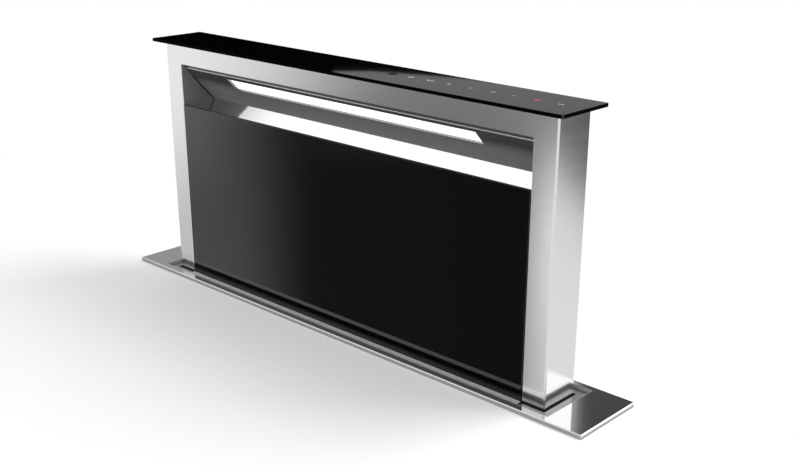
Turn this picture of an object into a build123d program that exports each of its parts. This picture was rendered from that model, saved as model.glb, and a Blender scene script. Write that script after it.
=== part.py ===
from build123d import *
import math
import os

# A downdraft vent that rises out of a worktop, shown raised. Millimetres.
# X runs to the right, Y to the back and Z up. The origin is the middle of the
# flange's underside, which rests on the worktop.

# worktop flange
FLANGE_LENGTH = 880.0
FLANGE_DEPTH = 116.0
FLANGE_THICK = 6.0
FLANGE_BEVEL = 1.2
RECESS_DEPTH = 4.8
RECESS_MARGIN = 2.0
SLOT_MARGIN = 3.0
INNER_CORNER = 3.0
WIPER_GAP = 0.4
WIPER_THICK = 3.0
WIPER_REACH = 9.0

# top glass
GLASS_LENGTH = 763.0
GLASS_DEPTH = 90.0
GLASS_THICK = 4.5

# tower, as raised
TOWER_WIDTH = 734.0
TOWER_DEPTH = 60.0
TOWER_TOP = 368.0
TOWER_FOOT = -110.0
LEG_WIDTH = 34.5
OPENING_TOP = 337.0
PANEL_TOP = 274.0
PANEL_FOOT = -92.0
SHEET = 1.2
BEND = 2.0
PANEL_GAP = 1.2
PANEL_GLASS = 4.0

# sloping ceiling of the intake, with its lamp
CANOPY_FRONT = (-26.4, 333.6)
CANOPY_BACK = (28.6, 276.1)
CANOPY_SETBACK = 4.0
CANOPY_HEM_TOP = 336.8
BEAD_RADIUS = 0.7
SEAM_GAP = 0.8
LAMP_HALF_LENGTH = 238.0
LAMP_START = 10.8
LAMP_WIDTH = 28.0
LAMP_DEPTH = 18.0
LAMP_WALL = 1.1
LENS_RECESS = 3.1
BAFFLE_FOOT = (10.6, 241.9)
BAFFLE_LIP = 11.5

# grease filters and drip tray
FILTER_FRONT = 1.0
FILTER_THICK = 9.0
FILTER_TOP = 236.0
FILTER_FOOT = -92.9
FILTER_REACH = 326.0
FILTER_RIM = 10.0
TRAY_REAR = 12.0

# lift
SCREW_X = 350.0
SCREW_RADIUS = 6.0
SCREW_TOP = -100.0
SCREW_JOURNAL = 5.0
RUNNING_FIT = 0.06
TRAVEL = 366.5
FOOT_PLATE = 4.0
SIDE_PLATE = 3.0
AXLE_RADIUS = 4.0
ROLLER_RADIUS = 10.0
ROLLER_X = (374.0, 384.0)
RAIL_PLAY = 0.3
ROLLER_HEIGHTS = (-95.0, -27.0)
PULLEY_RADIUS = 16.0
BELT_LOW = -551.0
BELT_HIGH = -541.0

# case under the worktop
CASE_HALF = 392.0
CASE_DEPTH = 96.0
CASE_FOOT = -600.0
RETURN_DEPTH = 15.0
CASE_SCREW = 2.0
BRACKET_FOOT = -643.0

# blower behind the case
FAN_X = -150.0
FAN_Z = -430.0
FAN_MIDDLE_Y = 135.0
FAN_WIDTH = 90.0
IMPELLER_RADIUS = 85.0
IMPELLER_BLADES = 30
INLET_RADIUS = 62.0
BOX_LEFT = -330.0
BOX_RIGHT = 70.0
BOX_BACK = 248.0
BOX_TOP = -250.0
BOX_FOOT = -596.0
COLLAR_RADIUS = 74.0
COLLAR_WALL = 1.5
COLLAR_LENGTH = 80.0
COLLAR_Z = -335.0
FLAP_X = 80.0
FLAP_OFFSET = 3.5
FLAP_PIN = 2.0
MOTOR_SHAFT = 4.0

# control box on the front of the case
CONTROL_X = (120.0, 320.0)
CONTROL_Z = (-430.0, -300.0)
CONTROL_DEPTH = 45.0
CONTROL_WALL = 2.5
GLAND_X = 290.0
GLAND_Y = -70.0
GLAND_RADIUS = 6.0
BOARD_FRONT = -60.4
BOARD_THICK = 1.6

# sizes that follow from those above
HALF_WIDTH = TOWER_WIDTH / 2
HALF_DEPTH = TOWER_DEPTH / 2
CHEEK = HALF_WIDTH - LEG_WIDTH
INSIDE = HALF_WIDTH - SHEET
INSIDE_Y = HALF_DEPTH - SHEET
RECESS_FLOOR = FLANGE_THICK - RECESS_DEPTH
CASE_Y = CASE_DEPTH / 2
CASE_INSIDE = CASE_HALF - SHEET
CASE_INSIDE_Y = CASE_Y - SHEET
SLOPE = math.atan2(CANOPY_FRONT[1] - CANOPY_BACK[1], CANOPY_BACK[0] - CANOPY_FRONT[0])
SLOPE_LENGTH = math.dist(CANOPY_FRONT, CANOPY_BACK)
SCREW_HEIGHTS = (-30.0, -165.0, -300.0, -435.0, -570.0)


def block(x, y, z):
    """A box between a low and a high limit on each axis."""
    sizes = [high - low for low, high in (x, y, z)]
    middle = [(high + low) / 2 for low, high in (x, y, z)]
    return Pos(*middle) * Box(*sizes)


def both(low, high):
    """The limits of a span on the positive side, and its mirror image."""
    return [(low, high), (-high, -low)]


def rod(radius, span, at, axis="z"):
    """A round bar along one axis, placed on the other two."""
    length = span[1] - span[0]
    middle = (span[1] + span[0]) / 2
    if axis == "x":
        return Pos(middle, at[0], at[1]) * Rot(0, 90, 0) * Cylinder(radius, length)
    if axis == "y":
        return Pos(at[0], middle, at[1]) * Rot(90, 0, 0) * Cylinder(radius, length)
    return Pos(at[0], at[1], middle) * Cylinder(radius, length)


def prism(outline, x):
    """A bar along X whose outline is a closed run of (y, z) points."""
    face = make_face(Polyline(*outline, close=True))
    return extrude(Plane.YZ.offset(x[0]) * face, amount=x[1] - x[0])


def group(solids):
    """Separate solids that share one node."""
    return Compound(children=[solid for part in solids for solid in part.solids()])


def mirrored(shape):
    """The same piece for the other side of the vent."""
    return mirror(shape, about=Plane.YZ)


def on_slope(along, behind):
    """A (y, z) point of the sloping ceiling: along it from the front edge, and behind its face."""
    y = CANOPY_FRONT[0] + along * math.cos(SLOPE) + behind * math.sin(SLOPE)
    z = CANOPY_FRONT[1] - along * math.sin(SLOPE) + behind * math.cos(SLOPE)
    return y, z


def slope_bar(along, behind, x):
    """A bar along X with a rectangular section square to the sloping ceiling."""
    corners = [
        on_slope(along[0], behind[0]),
        on_slope(along[1], behind[0]),
        on_slope(along[1], behind[1]),
        on_slope(along[0], behind[1]),
    ]
    return prism(corners, x)


# --- worktop flange and what closes its slot ---


def worktop_flange():
    half, deep = FLANGE_LENGTH / 2, FLANGE_DEPTH / 2
    plate = block((-half, half), (-deep, deep), (0, FLANGE_THICK))
    plate = fillet(plate.edges().filter_by(Axis.Z), BEND)
    plate = chamfer(plate.faces().sort_by(Axis.Z)[-1].edges(), FLANGE_BEVEL)
    long = GLASS_LENGTH + 2 * RECESS_MARGIN
    wide = GLASS_DEPTH + 2 * RECESS_MARGIN
    pocket = RectangleRounded(long, wide, INNER_CORNER)
    recess = extrude(Pos(0, 0, RECESS_FLOOR) * pocket, RECESS_DEPTH + 1)
    slot_long = TOWER_WIDTH + 2 * SLOT_MARGIN
    slot_wide = TOWER_DEPTH + 2 * SLOT_MARGIN
    slot = extrude(Pos(0, 0, -1) * RectangleRounded(slot_long, slot_wide, INNER_CORNER), FLANGE_THICK)
    return plate - recess - slot


def slot_wiper():
    """The rubber lip under the flange that wipes the tower and closes the slot."""
    outer = RectangleRounded(TOWER_WIDTH + 2 * WIPER_REACH, TOWER_DEPTH + 2 * WIPER_REACH, 5.0)
    inner = RectangleRounded(TOWER_WIDTH + 2 * WIPER_GAP, TOWER_DEPTH + 2 * WIPER_GAP, 0.5)
    return extrude(Pos(0, 0, -WIPER_THICK) * (outer - inner), WIPER_THICK)


def tower_glides():
    """Pads inside the case's mouth that keep the tower upright, front and back."""
    half_width, play, z = 10, 0.3, (-30, -8)
    spans_x = both(SCREW_X - half_width, SCREW_X + half_width)
    spans_y = both(HALF_DEPTH + play, CASE_INSIDE_Y)
    return group([block(x, y, z) for x in spans_x for y in spans_y])


# --- case under the worktop ---


def screw_places():
    """Where the case screws stand on the side returns, as (side, y, z)."""
    rows = [-1, 1]
    reach = CASE_Y - RETURN_DEPTH / 2
    return [(side, row * reach, z) for side in rows for row in rows for z in SCREW_HEIGHTS]


def screw_holes():
    span = (CASE_INSIDE - 1, CASE_HALF + SHEET + 1)
    holes = [rod(CASE_SCREW + 0.1, span, (y, z), "x") for side, y, z in screw_places() if side > 0]
    return group(holes + [mirrored(hole) for hole in holes])


def case_wall():
    """The folded front wall of the case: a sheet with a return down each side."""
    wall = block((-CASE_HALF, CASE_HALF), (-CASE_Y, -CASE_INSIDE_Y), (CASE_FOOT, 0))
    for x in both(CASE_HALF, CASE_HALF + SHEET):
        wall += block(x, (-CASE_Y, RETURN_DEPTH - CASE_Y), (CASE_FOOT, 0))
    return wall - screw_holes()


def case_front():
    return case_wall()


def case_rear():
    wall = mirror(case_wall(), about=Plane.XZ)
    return wall - rod(INLET_RADIUS, (CASE_INSIDE_Y - 1, CASE_Y + 1), (FAN_X, FAN_Z), "y")


def case_side(side):
    x = (CASE_INSIDE, CASE_HALF) if side > 0 else (-CASE_HALF, -CASE_INSIDE)
    return block(x, (-CASE_INSIDE_Y, CASE_INSIDE_Y), (CASE_FOOT, 0)) - screw_holes()


def case_base():
    """The floor of the case, with an upstand along its front and back."""
    x, upstand = (-CASE_INSIDE, CASE_INSIDE), 15
    base = block(x, (-CASE_INSIDE_Y, CASE_INSIDE_Y), (CASE_FOOT, CASE_FOOT + SHEET))
    for y in both(CASE_INSIDE_Y - SHEET, CASE_INSIDE_Y):
        base += block(x, y, (CASE_FOOT, CASE_FOOT + upstand))
    return base


def case_screws():
    """Pan-head screws that hold the front and rear walls to the side walls."""
    outside, head_radius, head_height = CASE_HALF + SHEET, 3.8, 2.2
    screws = []
    for side, y, z in screw_places():
        if side > 0:
            shank = rod(CASE_SCREW, (CASE_INSIDE, outside), (y, z), "x")
            head = rod(head_radius, (outside, outside + head_height), (y, z), "x")
            screws.append(shank + head)
    return group(screws + [mirrored(screw) for screw in screws])


def worktop_clamps():
    """Hooked clamps on the front and rear walls that pull the flange down on the worktop."""
    thick, reach, low, high, hook = 2.5, 26, -95, -45, 4
    bolt_radius, bolt_height, bolt_z = 4.0, 3.5, -75
    clamps = []
    for x in both(280, 310):
        foot = block(x, (CASE_Y, CASE_Y + thick), (low, high))
        arm = block(x, (CASE_Y, CASE_Y + reach), (high - thick, high))
        tip = block(x, (CASE_Y + reach - thick, CASE_Y + reach), (high, high + hook))
        middle = (x[0] + x[1]) / 2
        bolt = rod(bolt_radius, (CASE_Y + thick, CASE_Y + thick + bolt_height), (middle, bolt_z), "y")
        clamps.append(foot + arm + tip + bolt)
    return group(clamps + [mirror(clamp, about=Plane.XZ) for clamp in clamps])


def floor_brackets():
    """Angle feet that carry the case on the cabinet floor, with a slot for height."""
    near, far, thick, width = CASE_HALF + SHEET, 438, 3, (-30, 30)
    floor_top = BRACKET_FOOT + thick
    upright = block((near, near + thick), width, (floor_top, -545))
    foot = block((near, far), width, (BRACKET_FOOT, floor_top))
    hole_radius, hole_x, hole_y = 3.5, 418, 20
    span = (BRACKET_FOOT - 7, floor_top + 10)
    bracket = upright + foot - group([rod(hole_radius, span, (hole_x, y)) for y in (-hole_y, hole_y)])
    bolt_radius, bolt_height, bolt_y, bolt_z = 5.0, 4, 18, -560
    for y in (-bolt_y, bolt_y):
        bracket += rod(bolt_radius, (near + thick, near + thick + bolt_height), (y, bolt_z), "x")
    return group([bracket, mirrored(bracket)])


# --- lift ---


def guide_rail():
    """A channel rail in which the tower's rollers run up and down."""
    z, wall, lip_x = (-500, -8), 2.0, ROLLER_X[0] - 2
    inside = ROLLER_RADIUS + RAIL_PLAY
    outside = inside + wall
    rail = block((CASE_INSIDE - wall, CASE_INSIDE), (-outside, outside), z)
    for y in both(inside, outside):
        rail += block((lip_x, CASE_INSIDE - wall), y, z)
    return rail


def lead_screw():
    """A trapezoidal lift screw: journal and pulley seat, thrust collar and thread."""
    place, seat, collar_top = (SCREW_X, 0), BELT_HIGH + 3, BELT_HIGH + 7
    journal = rod(SCREW_JOURNAL, (-590, seat), place)
    collar = rod(8.0, (seat, collar_top), place)
    thread = rod(SCREW_RADIUS, (collar_top, SCREW_TOP), place)
    thread = chamfer(thread.faces().sort_by(Axis.Z)[-1].edges(), 1.5)
    return journal + collar + thread


def pulley():
    """A toothed pulley for the belt, with a flange above and below."""
    place, rim, rim_thick = (SCREW_X, 0), PULLEY_RADIUS + 2.5, 1.2
    body = rod(PULLEY_RADIUS, (BELT_LOW, BELT_HIGH), place)
    body += rod(rim, (BELT_LOW - rim_thick, BELT_LOW), place)
    body += rod(rim, (BELT_HIGH, BELT_HIGH + rim_thick), place)
    return body - rod(SCREW_JOURNAL, (BELT_LOW - 5, BELT_HIGH + 5), place)


def sync_belt():
    """The toothed belt that turns both screws together."""
    gap, thick = 0.3, 1.5
    outer = SlotCenterToCenter(2 * SCREW_X, 2 * (PULLEY_RADIUS + gap + thick))
    inner = SlotCenterToCenter(2 * SCREW_X, 2 * (PULLEY_RADIUS + gap))
    width = BELT_HIGH - BELT_LOW - 2 * gap
    return extrude(Pos(0, 0, BELT_LOW + gap) * (outer - inner), width)


def screw_bearing():
    """The pillar block under the left screw."""
    z, half_x, half_y = (CASE_FOOT + SHEET, BELT_LOW - 3), 20, 22
    pillar = block((-SCREW_X - half_x, -SCREW_X + half_x), (-half_y, half_y), z)
    pillar = chamfer(pillar.edges().filter_by(Axis.Z), 3.0)
    return pillar - rod(SCREW_JOURNAL + RUNNING_FIT, (-592, BELT_LOW), (-SCREW_X, 0))


def lift_gearmotor():
    """Worm gearbox under the right screw, with its motor lying along the base."""
    z, half_x, half_y = (CASE_FOOT + SHEET, -558), 28, 24
    box = block((SCREW_X - half_x, SCREW_X + half_x), (-half_y, half_y), z)
    box = fillet(box.edges().filter_by(Axis.Z), 4.0)
    box -= rod(SCREW_JOURNAL + RUNNING_FIT, (-592, -550), (SCREW_X, 0))
    can_end, cap_end, motor_z = 238, 232, -579
    can = rod(18.0, (can_end, SCREW_X - half_x), (0, motor_z), "x")
    cap = rod(15.0, (cap_end, can_end), (0, motor_z), "x")
    return box + can + cap


def carriage():
    """The foot of the right leg: a plate over the nut, and a side plate with roller axles."""
    low, outside = TOWER_FOOT - FOOT_PLATE, HALF_WIDTH + SIDE_PLATE
    foot = block((CHEEK + SHEET, outside), (-INSIDE_Y, INSIDE_Y), (low, TOWER_FOOT))
    foot -= rod(SCREW_RADIUS + 1.5, (low - 1, TOWER_FOOT + 1), (SCREW_X, 0))
    side = block((HALF_WIDTH, outside), (-24, 24), (low, -12))
    for z in ROLLER_HEIGHTS:
        side += rod(AXLE_RADIUS, (outside, ROLLER_X[1] + 2), (0, z), "x")
    return foot + side


def roller(z):
    wheel = rod(ROLLER_RADIUS, ROLLER_X, (0, z), "x")
    wheel = chamfer(wheel.edges().filter_by(GeomType.CIRCLE), 0.8)
    return wheel - rod(AXLE_RADIUS + RUNNING_FIT, (ROLLER_X[0] - 4, ROLLER_X[1] + 4), (0, z), "x")


def screw_nuts():
    """Flanged nuts under the foot plates, one on each lift screw."""
    place, top, flange, length = (SCREW_X, 0), TOWER_FOOT - FOOT_PLATE, 5, 25
    nut = rod(14.0, (top - flange, top), place) + rod(11.0, (top - length, top - flange), place)
    nut -= rod(SCREW_RADIUS + RUNNING_FIT, (top - length - 5, top + 5), place)
    return group([nut, mirrored(nut)])


def travel_sensors():
    """Two inductive sensors on the left wall that see the carriage, raised and lowered."""
    x, y, raised_top, height = (-CASE_INSIDE, -381), (14, 24), -25, 15
    tops = (raised_top, raised_top - TRAVEL)
    return group([block(x, y, (top - height, top)) for top in tops])


# --- tower ---


def tower_shell():
    """Front frame, sides and inner leg walls, folded from one steel sheet."""
    z = (TOWER_FOOT, TOWER_TOP)
    shell = block((-HALF_WIDTH, HALF_WIDTH), (-HALF_DEPTH, HALF_DEPTH), z)
    corners = shell.edges().filter_by(Axis.Z).group_by(Axis.Y)[0]
    shell = fillet(corners, BEND)
    shell -= block((-INSIDE, INSIDE), (-INSIDE_Y, HALF_DEPTH + 1), (TOWER_FOOT - 1, TOWER_TOP + 1))
    opening = block((-CHEEK, CHEEK), (-HALF_DEPTH - 1, HALF_DEPTH), (TOWER_FOOT - 1, OPENING_TOP))
    shell -= opening
    for x in both(CHEEK, CHEEK + SHEET):
        shell += block(x, (-INSIDE_Y, INSIDE_Y), (TOWER_FOOT, OPENING_TOP + SHEET))
    lip = 8
    shell += block((-CHEEK, CHEEK), (-INSIDE_Y, lip - INSIDE_Y), (OPENING_TOP, OPENING_TOP + SHEET))
    rim = [
        edge
        for edge in shell.edges().filter_by(Axis.Z)
        if abs(abs(edge.center().X) - CHEEK) < 0.01 and abs(edge.center().Y + HALF_DEPTH) < 0.01
    ]
    return fillet(rim, 0.8)


def rear_cover():
    """The flat sheet that closes the back of the tower."""
    return block((-INSIDE, INSIDE), (INSIDE_Y, HALF_DEPTH), (TOWER_FOOT, TOWER_TOP - 0.5))


def top_glass():
    half, deep = GLASS_LENGTH / 2, GLASS_DEPTH / 2
    slab = block((-half, half), (-deep, deep), (TOWER_TOP, TOWER_TOP + GLASS_THICK))
    slab = fillet(slab.edges().filter_by(Axis.Z), 1.5)
    return chamfer(slab.faces().filter_by(Axis.Z).edges(), 0.5)


def top_tray():
    """The steel plate bonded under the top glass, with a window for the touch board."""
    play, half_y, thick = 0.3, 28.3, 3
    tray = block((play - INSIDE, INSIDE - play), (-half_y, half_y), (TOWER_TOP - thick, TOWER_TOP))
    return tray - block((60, 361), (-20, 20), (TOWER_TOP - thick - 1, TOWER_TOP + 1))


def touch_board():
    """The board under the glass, with a sprung pad for each touch mark and one plug."""
    under, pitch = TOWER_TOP - 1.8, 33
    board = block((62, 359), (-18, 18), (under, TOWER_TOP - 0.2))
    for x in range(115, 360, pitch):
        board += rod(5.0, (TOWER_TOP - 4.5, under), (x, 0))
    return board + block((70, 100), (-8, 8), (TOWER_TOP - 7, under))


def canopy_plate():
    """The sloping ceiling of the intake, with a window for the lamp.

    Its front edge is rolled over a bead, and a hem stands up from there to the bar's lip.
    """
    x, play = (SEAM_GAP - CHEEK, CHEEK - SEAM_GAP), 0.1
    bead_y, bead_z = on_slope(CANOPY_SETBACK, SHEET / 2)
    plate = slope_bar((CANOPY_SETBACK, SLOPE_LENGTH), (0, SHEET), x)
    plate += rod(BEAD_RADIUS, x, (bead_y, bead_z), "x")
    plate += block(x, (bead_y, bead_y + SHEET), (bead_z, CANOPY_HEM_TOP))
    reach = LAMP_HALF_LENGTH + play
    window = (LAMP_START - play, LAMP_START + LAMP_WIDTH + play)
    plate -= slope_bar(window, (-1, SHEET + 1), (-reach, reach))
    return plate - block((-CHEEK, CHEEK), (INSIDE_Y, HALF_DEPTH + 5), (CANOPY_BACK[1] - 5, TOWER_TOP))


def lamp_housing():
    """An aluminium channel behind the ceiling that holds the lamp's board and lens."""
    reach, back = LAMP_HALF_LENGTH, 1.5
    body = slope_bar((LAMP_START, LAMP_START + LAMP_WIDTH), (0, LAMP_DEPTH), (-reach, reach))
    hollow = (LAMP_START + LAMP_WALL, LAMP_START + LAMP_WIDTH - LAMP_WALL)
    return body - slope_bar(hollow, (-1, LAMP_DEPTH - back), (LAMP_WALL - reach, reach - LAMP_WALL))


def lamp_lens():
    """The opal strip that covers the diodes, set back inside the channel."""
    edge, thick = LAMP_WALL + 0.1, 3
    reach = LAMP_HALF_LENGTH - edge
    along = (LAMP_START + edge, LAMP_START + LAMP_WIDTH - edge)
    return slope_bar(along, (LENS_RECESS, LENS_RECESS + thick), (-reach, reach))


def lamp_board():
    """The lamp's strip board, with a row of light-emitting diodes."""
    reach, back, half_board = LAMP_HALF_LENGTH - 2, LAMP_DEPTH - 1.5, 7
    face = back - BOARD_THICK
    middle = LAMP_START + LAMP_WIDTH / 2
    board = slope_bar((middle - half_board, middle + half_board), (face, back), (-reach, reach))
    diodes, pitch, half_diode, height = 24, 19.5, 1.5, 1.0
    along = (middle - half_diode, middle + half_diode)
    for index in range(diodes):
        x = (index - (diodes - 1) / 2) * pitch
        board += slope_bar(along, (face - height, face), (x - half_diode, x + half_diode))
    return board


def throat_baffle():
    """The polished steel sheet that falls from the back of the ceiling to the filters."""
    (top_y, top_z), (foot_y, foot_z) = CANOPY_BACK, BAFFLE_FOOT
    tilt = math.atan2(top_y - foot_y, top_z - foot_z)
    back_y, down_z = SHEET * math.cos(tilt), SHEET * math.sin(tilt)
    outline = [
        (top_y, top_z - 0.1),
        (foot_y, foot_z),
        (foot_y, foot_z - BAFFLE_LIP),
        (foot_y + SHEET, foot_z - BAFFLE_LIP),
        (foot_y + SHEET, foot_z - down_z),
        (top_y + 0.1, top_z - 0.1 - down_z - back_y),
    ]
    return prism(outline, (SEAM_GAP - CHEEK, CHEEK - SEAM_GAP))


def front_glass():
    """The black glass of the front panel, flush with the legs."""
    x = (-CHEEK + PANEL_GAP, CHEEK - PANEL_GAP)
    pane = block(x, (-HALF_DEPTH, PANEL_GLASS - HALF_DEPTH), (PANEL_FOOT, PANEL_TOP))
    return chamfer(pane.faces().sort_by(Axis.Y)[0].edges(), 0.4)


def panel_tray():
    """The shallow steel pan bonded behind the front glass."""
    front, reach, depth, wall = PANEL_GLASS - HALF_DEPTH, CHEEK - 3.5, 8, 1
    low, high = PANEL_FOOT + 2, PANEL_TOP - 3
    pan = block((-reach, reach), (front, front + depth), (low, high))
    inside = (wall - reach, reach - wall)
    return pan - block(inside, (front + wall, front + depth + 1), (low + wall, high - wall))


def panel_catches():
    """Sprung catches in the legs that the front panel clips on to."""
    y, heights = (-24, -17), ((-70, -54), (236, 252))
    return group([block(x, y, z) for x in both(CHEEK - 3.4, CHEEK - 0.1) for z in heights])


def filter_limits(side):
    return (0.4, FILTER_REACH) if side > 0 else (-FILTER_REACH, -0.4)


def filter_frame(side):
    """The folded aluminium rim of a grease filter, with its pull tab."""
    low, high = filter_limits(side)
    rear = FILTER_FRONT + FILTER_THICK
    frame = block((low, high), (FILTER_FRONT, rear), (FILTER_FOOT, FILTER_TOP))
    inside_x = (low + FILTER_RIM, high - FILTER_RIM)
    frame -= block(inside_x, (0, rear + 1), (FILTER_FOOT + FILTER_RIM, FILTER_TOP - FILTER_RIM))
    middle, half_tab, tab_z = (low + high) / 2, 20, (229, 232)
    return frame + block((middle - half_tab, middle + half_tab), (FILTER_FRONT - 3, FILTER_FRONT), tab_z)


def filter_mesh(side):
    """The expanded aluminium pack inside a filter's rim."""
    low, high = filter_limits(side)
    inside_x = (low + FILTER_RIM, high - FILTER_RIM)
    pack = block(inside_x, (3.5, 7.5), (FILTER_FOOT + FILTER_RIM, FILTER_TOP - FILTER_RIM))
    middle = Pos((low + high) / 2, (FILTER_FOOT + FILTER_TOP) / 2)
    pitch_x, pitch_z, columns, rows = 31, 18, 9, 17
    slot = SlotOverall(25, 8)
    places = GridLocations(pitch_x, pitch_z, columns, rows)
    slots = Sketch() + [middle * place * slot for place in places]
    return pack - extrude(Plane.XZ * slots, 20, both=True)


def centre_post():
    """The channel behind the joint of the two filters, which they rest against."""
    half, front, low, high = 6, TRAY_REAR + 0.2, -95, 230
    post = block((-half, half), (front, INSIDE_Y), (low, high))
    return post - block((SHEET - half, half - SHEET), (front + SHEET, INSIDE_Y + 1), (low - 1, high + 1))


def drip_tray():
    """The channel at the foot of the filters that catches grease."""
    y, z, wall = (-17.5, TRAY_REAR), (-94, -80), 1.0
    tray = block((-CHEEK + 1, CHEEK - 1), y, z)
    return tray - block((-CHEEK + 2, CHEEK - 2), (y[0] + wall, y[1] - wall), (z[0] + wall, z[1] + 1))


def base_frame():
    """The pressed frame that joins the legs, open behind the tray for the air."""
    front, top, rib, shelf = -28, -95, 8, 3
    frame = block((-CHEEK, CHEEK), (front, INSIDE_Y), (TOWER_FOOT, top))
    for x in both(rib, CHEEK - rib):
        frame -= block(x, (TRAY_REAR + 0.5, INSIDE_Y - SHEET), (TOWER_FOOT - 1, top + 5))
        frame -= block(x, (front + 2, TRAY_REAR - 2), (TOWER_FOOT - 1, top - shelf))
    return frame


# --- blower ---


def blower_box():
    """The sheet-steel box behind the case, open towards the case's rear wall."""
    box = block((BOX_LEFT, BOX_RIGHT), (CASE_Y, BOX_BACK), (BOX_FOOT, BOX_TOP))
    box = fillet(box.edges().filter_by(Axis.Y) + box.faces().sort_by(Axis.Y)[-1].edges(), BEND)
    hollow_x = (BOX_LEFT + SHEET, BOX_RIGHT - SHEET)
    hollow_z = (BOX_FOOT + SHEET, BOX_TOP - SHEET)
    box -= block(hollow_x, (CASE_Y - 1, BOX_BACK - SHEET), hollow_z)
    return box - rod(COLLAR_RADIUS + 1, (BOX_RIGHT - 5, BOX_RIGHT + 5), (FAN_MIDDLE_Y, COLLAR_Z), "x")


def inlet_ring():
    """The bellmouth that leads air from the case into the impeller."""
    flange, end, place = 18, 100, (FAN_X, FAN_Z)
    ring = rod(INLET_RADIUS + flange, (CASE_Y, CASE_Y + SHEET), place, "y")
    ring += rod(INLET_RADIUS, (CASE_Y, end), place, "y")
    return ring - rod(INLET_RADIUS - SHEET, (CASE_Y - 1, end + 1), place, "y")


def scroll_face():
    """The air space of the fan scroll: four quarter turns that close in, and the outlet."""
    step, top, floor, reach = 12.0, 150.0, 45.0, BOX_RIGHT - FAN_X
    radii = [top - step / 2 - step * turn for turn in range(4)]
    centres = [(0, step / 2), (-step, step / 2), (-step, -step / 2), (0, -step / 2)]
    tongue_turn = 35.0
    arcs = [CenterArc(centres[turn], radii[turn], 90 + 90 * turn, 90) for turn in range(3)]
    last = CenterArc(centres[3], radii[3], 0, tongue_turn)
    tongue = last @ 1
    walls = [
        Line((reach, top), (0, top)),
        Line(tongue, (reach, floor)),
        Line((reach, floor), (reach, top)),
    ]
    return make_face(Curve() + arcs + [last] + walls)


def fan_scroll():
    """The moulded volute round the impeller, open to the inlet ring and the outlet."""
    wall, motor_hole = 1.5, 14.0
    front = FAN_MIDDLE_Y - FAN_WIDTH / 2
    outer_place = Plane(origin=(FAN_X, front, FAN_Z), x_dir=(1, 0, 0), z_dir=(0, -1, 0))
    inner_place = Plane(origin=(FAN_X, front + wall, FAN_Z), x_dir=(1, 0, 0), z_dir=(0, -1, 0))
    air = scroll_face()
    shell = extrude(outer_place * offset(air, wall), -FAN_WIDTH)
    shell -= extrude(inner_place * air, 2 * wall - FAN_WIDTH)
    shell -= block((BOX_RIGHT - SHEET - 0.2, BOX_RIGHT + 9), (0, BOX_BACK), (BOX_FOOT, BOX_TOP))
    shell -= rod(INLET_RADIUS + 2, (front - 1, front + 5), (FAN_X, FAN_Z), "y")
    back = FAN_MIDDLE_Y + FAN_WIDTH / 2
    return shell - rod(motor_hole, (back - 5, back + 1), (FAN_X, FAN_Z), "y")


def impeller():
    """A one-piece fan wheel: back disc, forward blades, front ring and hub."""
    back_y, front_y, disc, ring_width, place = 168.0, 98.0, 2, 17, (FAN_X, FAN_Z)
    wheel = rod(IMPELLER_RADIUS, (back_y, back_y + disc), place, "y")
    ring = rod(IMPELLER_RADIUS, (front_y, front_y + disc), place, "y")
    wheel += ring - rod(IMPELLER_RADIUS - ring_width, (front_y - 1, front_y + 3), place, "y")
    blade_span, half_blade = (IMPELLER_RADIUS - 15, IMPELLER_RADIUS - 1), 0.8
    blade = block(blade_span, (front_y, back_y + 1), (-half_blade, half_blade))
    for index in range(IMPELLER_BLADES):
        turn = 360 / IMPELLER_BLADES * index
        wheel += Pos(FAN_X, 0, FAN_Z) * Rot(0, turn, 0) * blade
    hub_radius, hub_front = 12.0, 150
    wheel += rod(hub_radius, (hub_front, back_y), place, "y")
    return wheel - rod(MOTOR_SHAFT + RUNNING_FIT, (hub_front - 10, back_y + 5), place, "y")


def fan_motor():
    """The fan's motor behind the scroll, with its shaft into the impeller."""
    place, boss, plate, can, end = (FAN_X, FAN_Z), 176, 180, 184, 226
    motor = rod(46.0, (can, end), place, "y")
    motor = fillet(motor.edges().filter_by(GeomType.CIRCLE).sort_by(Axis.Y)[-1], 6.0)
    motor += rod(56.0, (plate, can), place, "y")
    motor += rod(11.0, (boss, plate), place, "y")
    return motor + rod(MOTOR_SHAFT, (boss - 24, boss), place, "y")


def outlet_collar():
    """The round spigot for the duct, with bosses for the flap pins."""
    end, at, half_plate, plate = BOX_RIGHT + COLLAR_LENGTH, (FAN_MIDDLE_Y, COLLAR_Z), 84, 2
    plate_y = (FAN_MIDDLE_Y - half_plate, FAN_MIDDLE_Y + half_plate)
    plate_z = (COLLAR_Z - half_plate, COLLAR_Z + half_plate)
    collar = block((BOX_RIGHT, BOX_RIGHT + plate), plate_y, plate_z)
    collar += rod(COLLAR_RADIUS, (BOX_RIGHT, end), at, "x")
    bore = rod(COLLAR_RADIUS - COLLAR_WALL, (BOX_RIGHT - 1, end + 1), at, "x")
    half_x, half_y, face = 5, 9, 66
    boss_x, boss_y = (FLAP_X - half_x, FLAP_X + half_x), (FAN_MIDDLE_Y - half_y, FAN_MIDDLE_Y + half_y)
    for low, high in both(face, COLLAR_RADIUS + 6):
        bore -= block(boss_x, boss_y, (COLLAR_Z + low, COLLAR_Z + high))
    collar -= bore
    for side in (-1, 1):
        place = (FLAP_X, FAN_MIDDLE_Y + side * FLAP_OFFSET)
        collar -= rod(FLAP_PIN + RUNNING_FIT, (COLLAR_Z - face - 4, COLLAR_Z + face + 4), place)
    return collar


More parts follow.
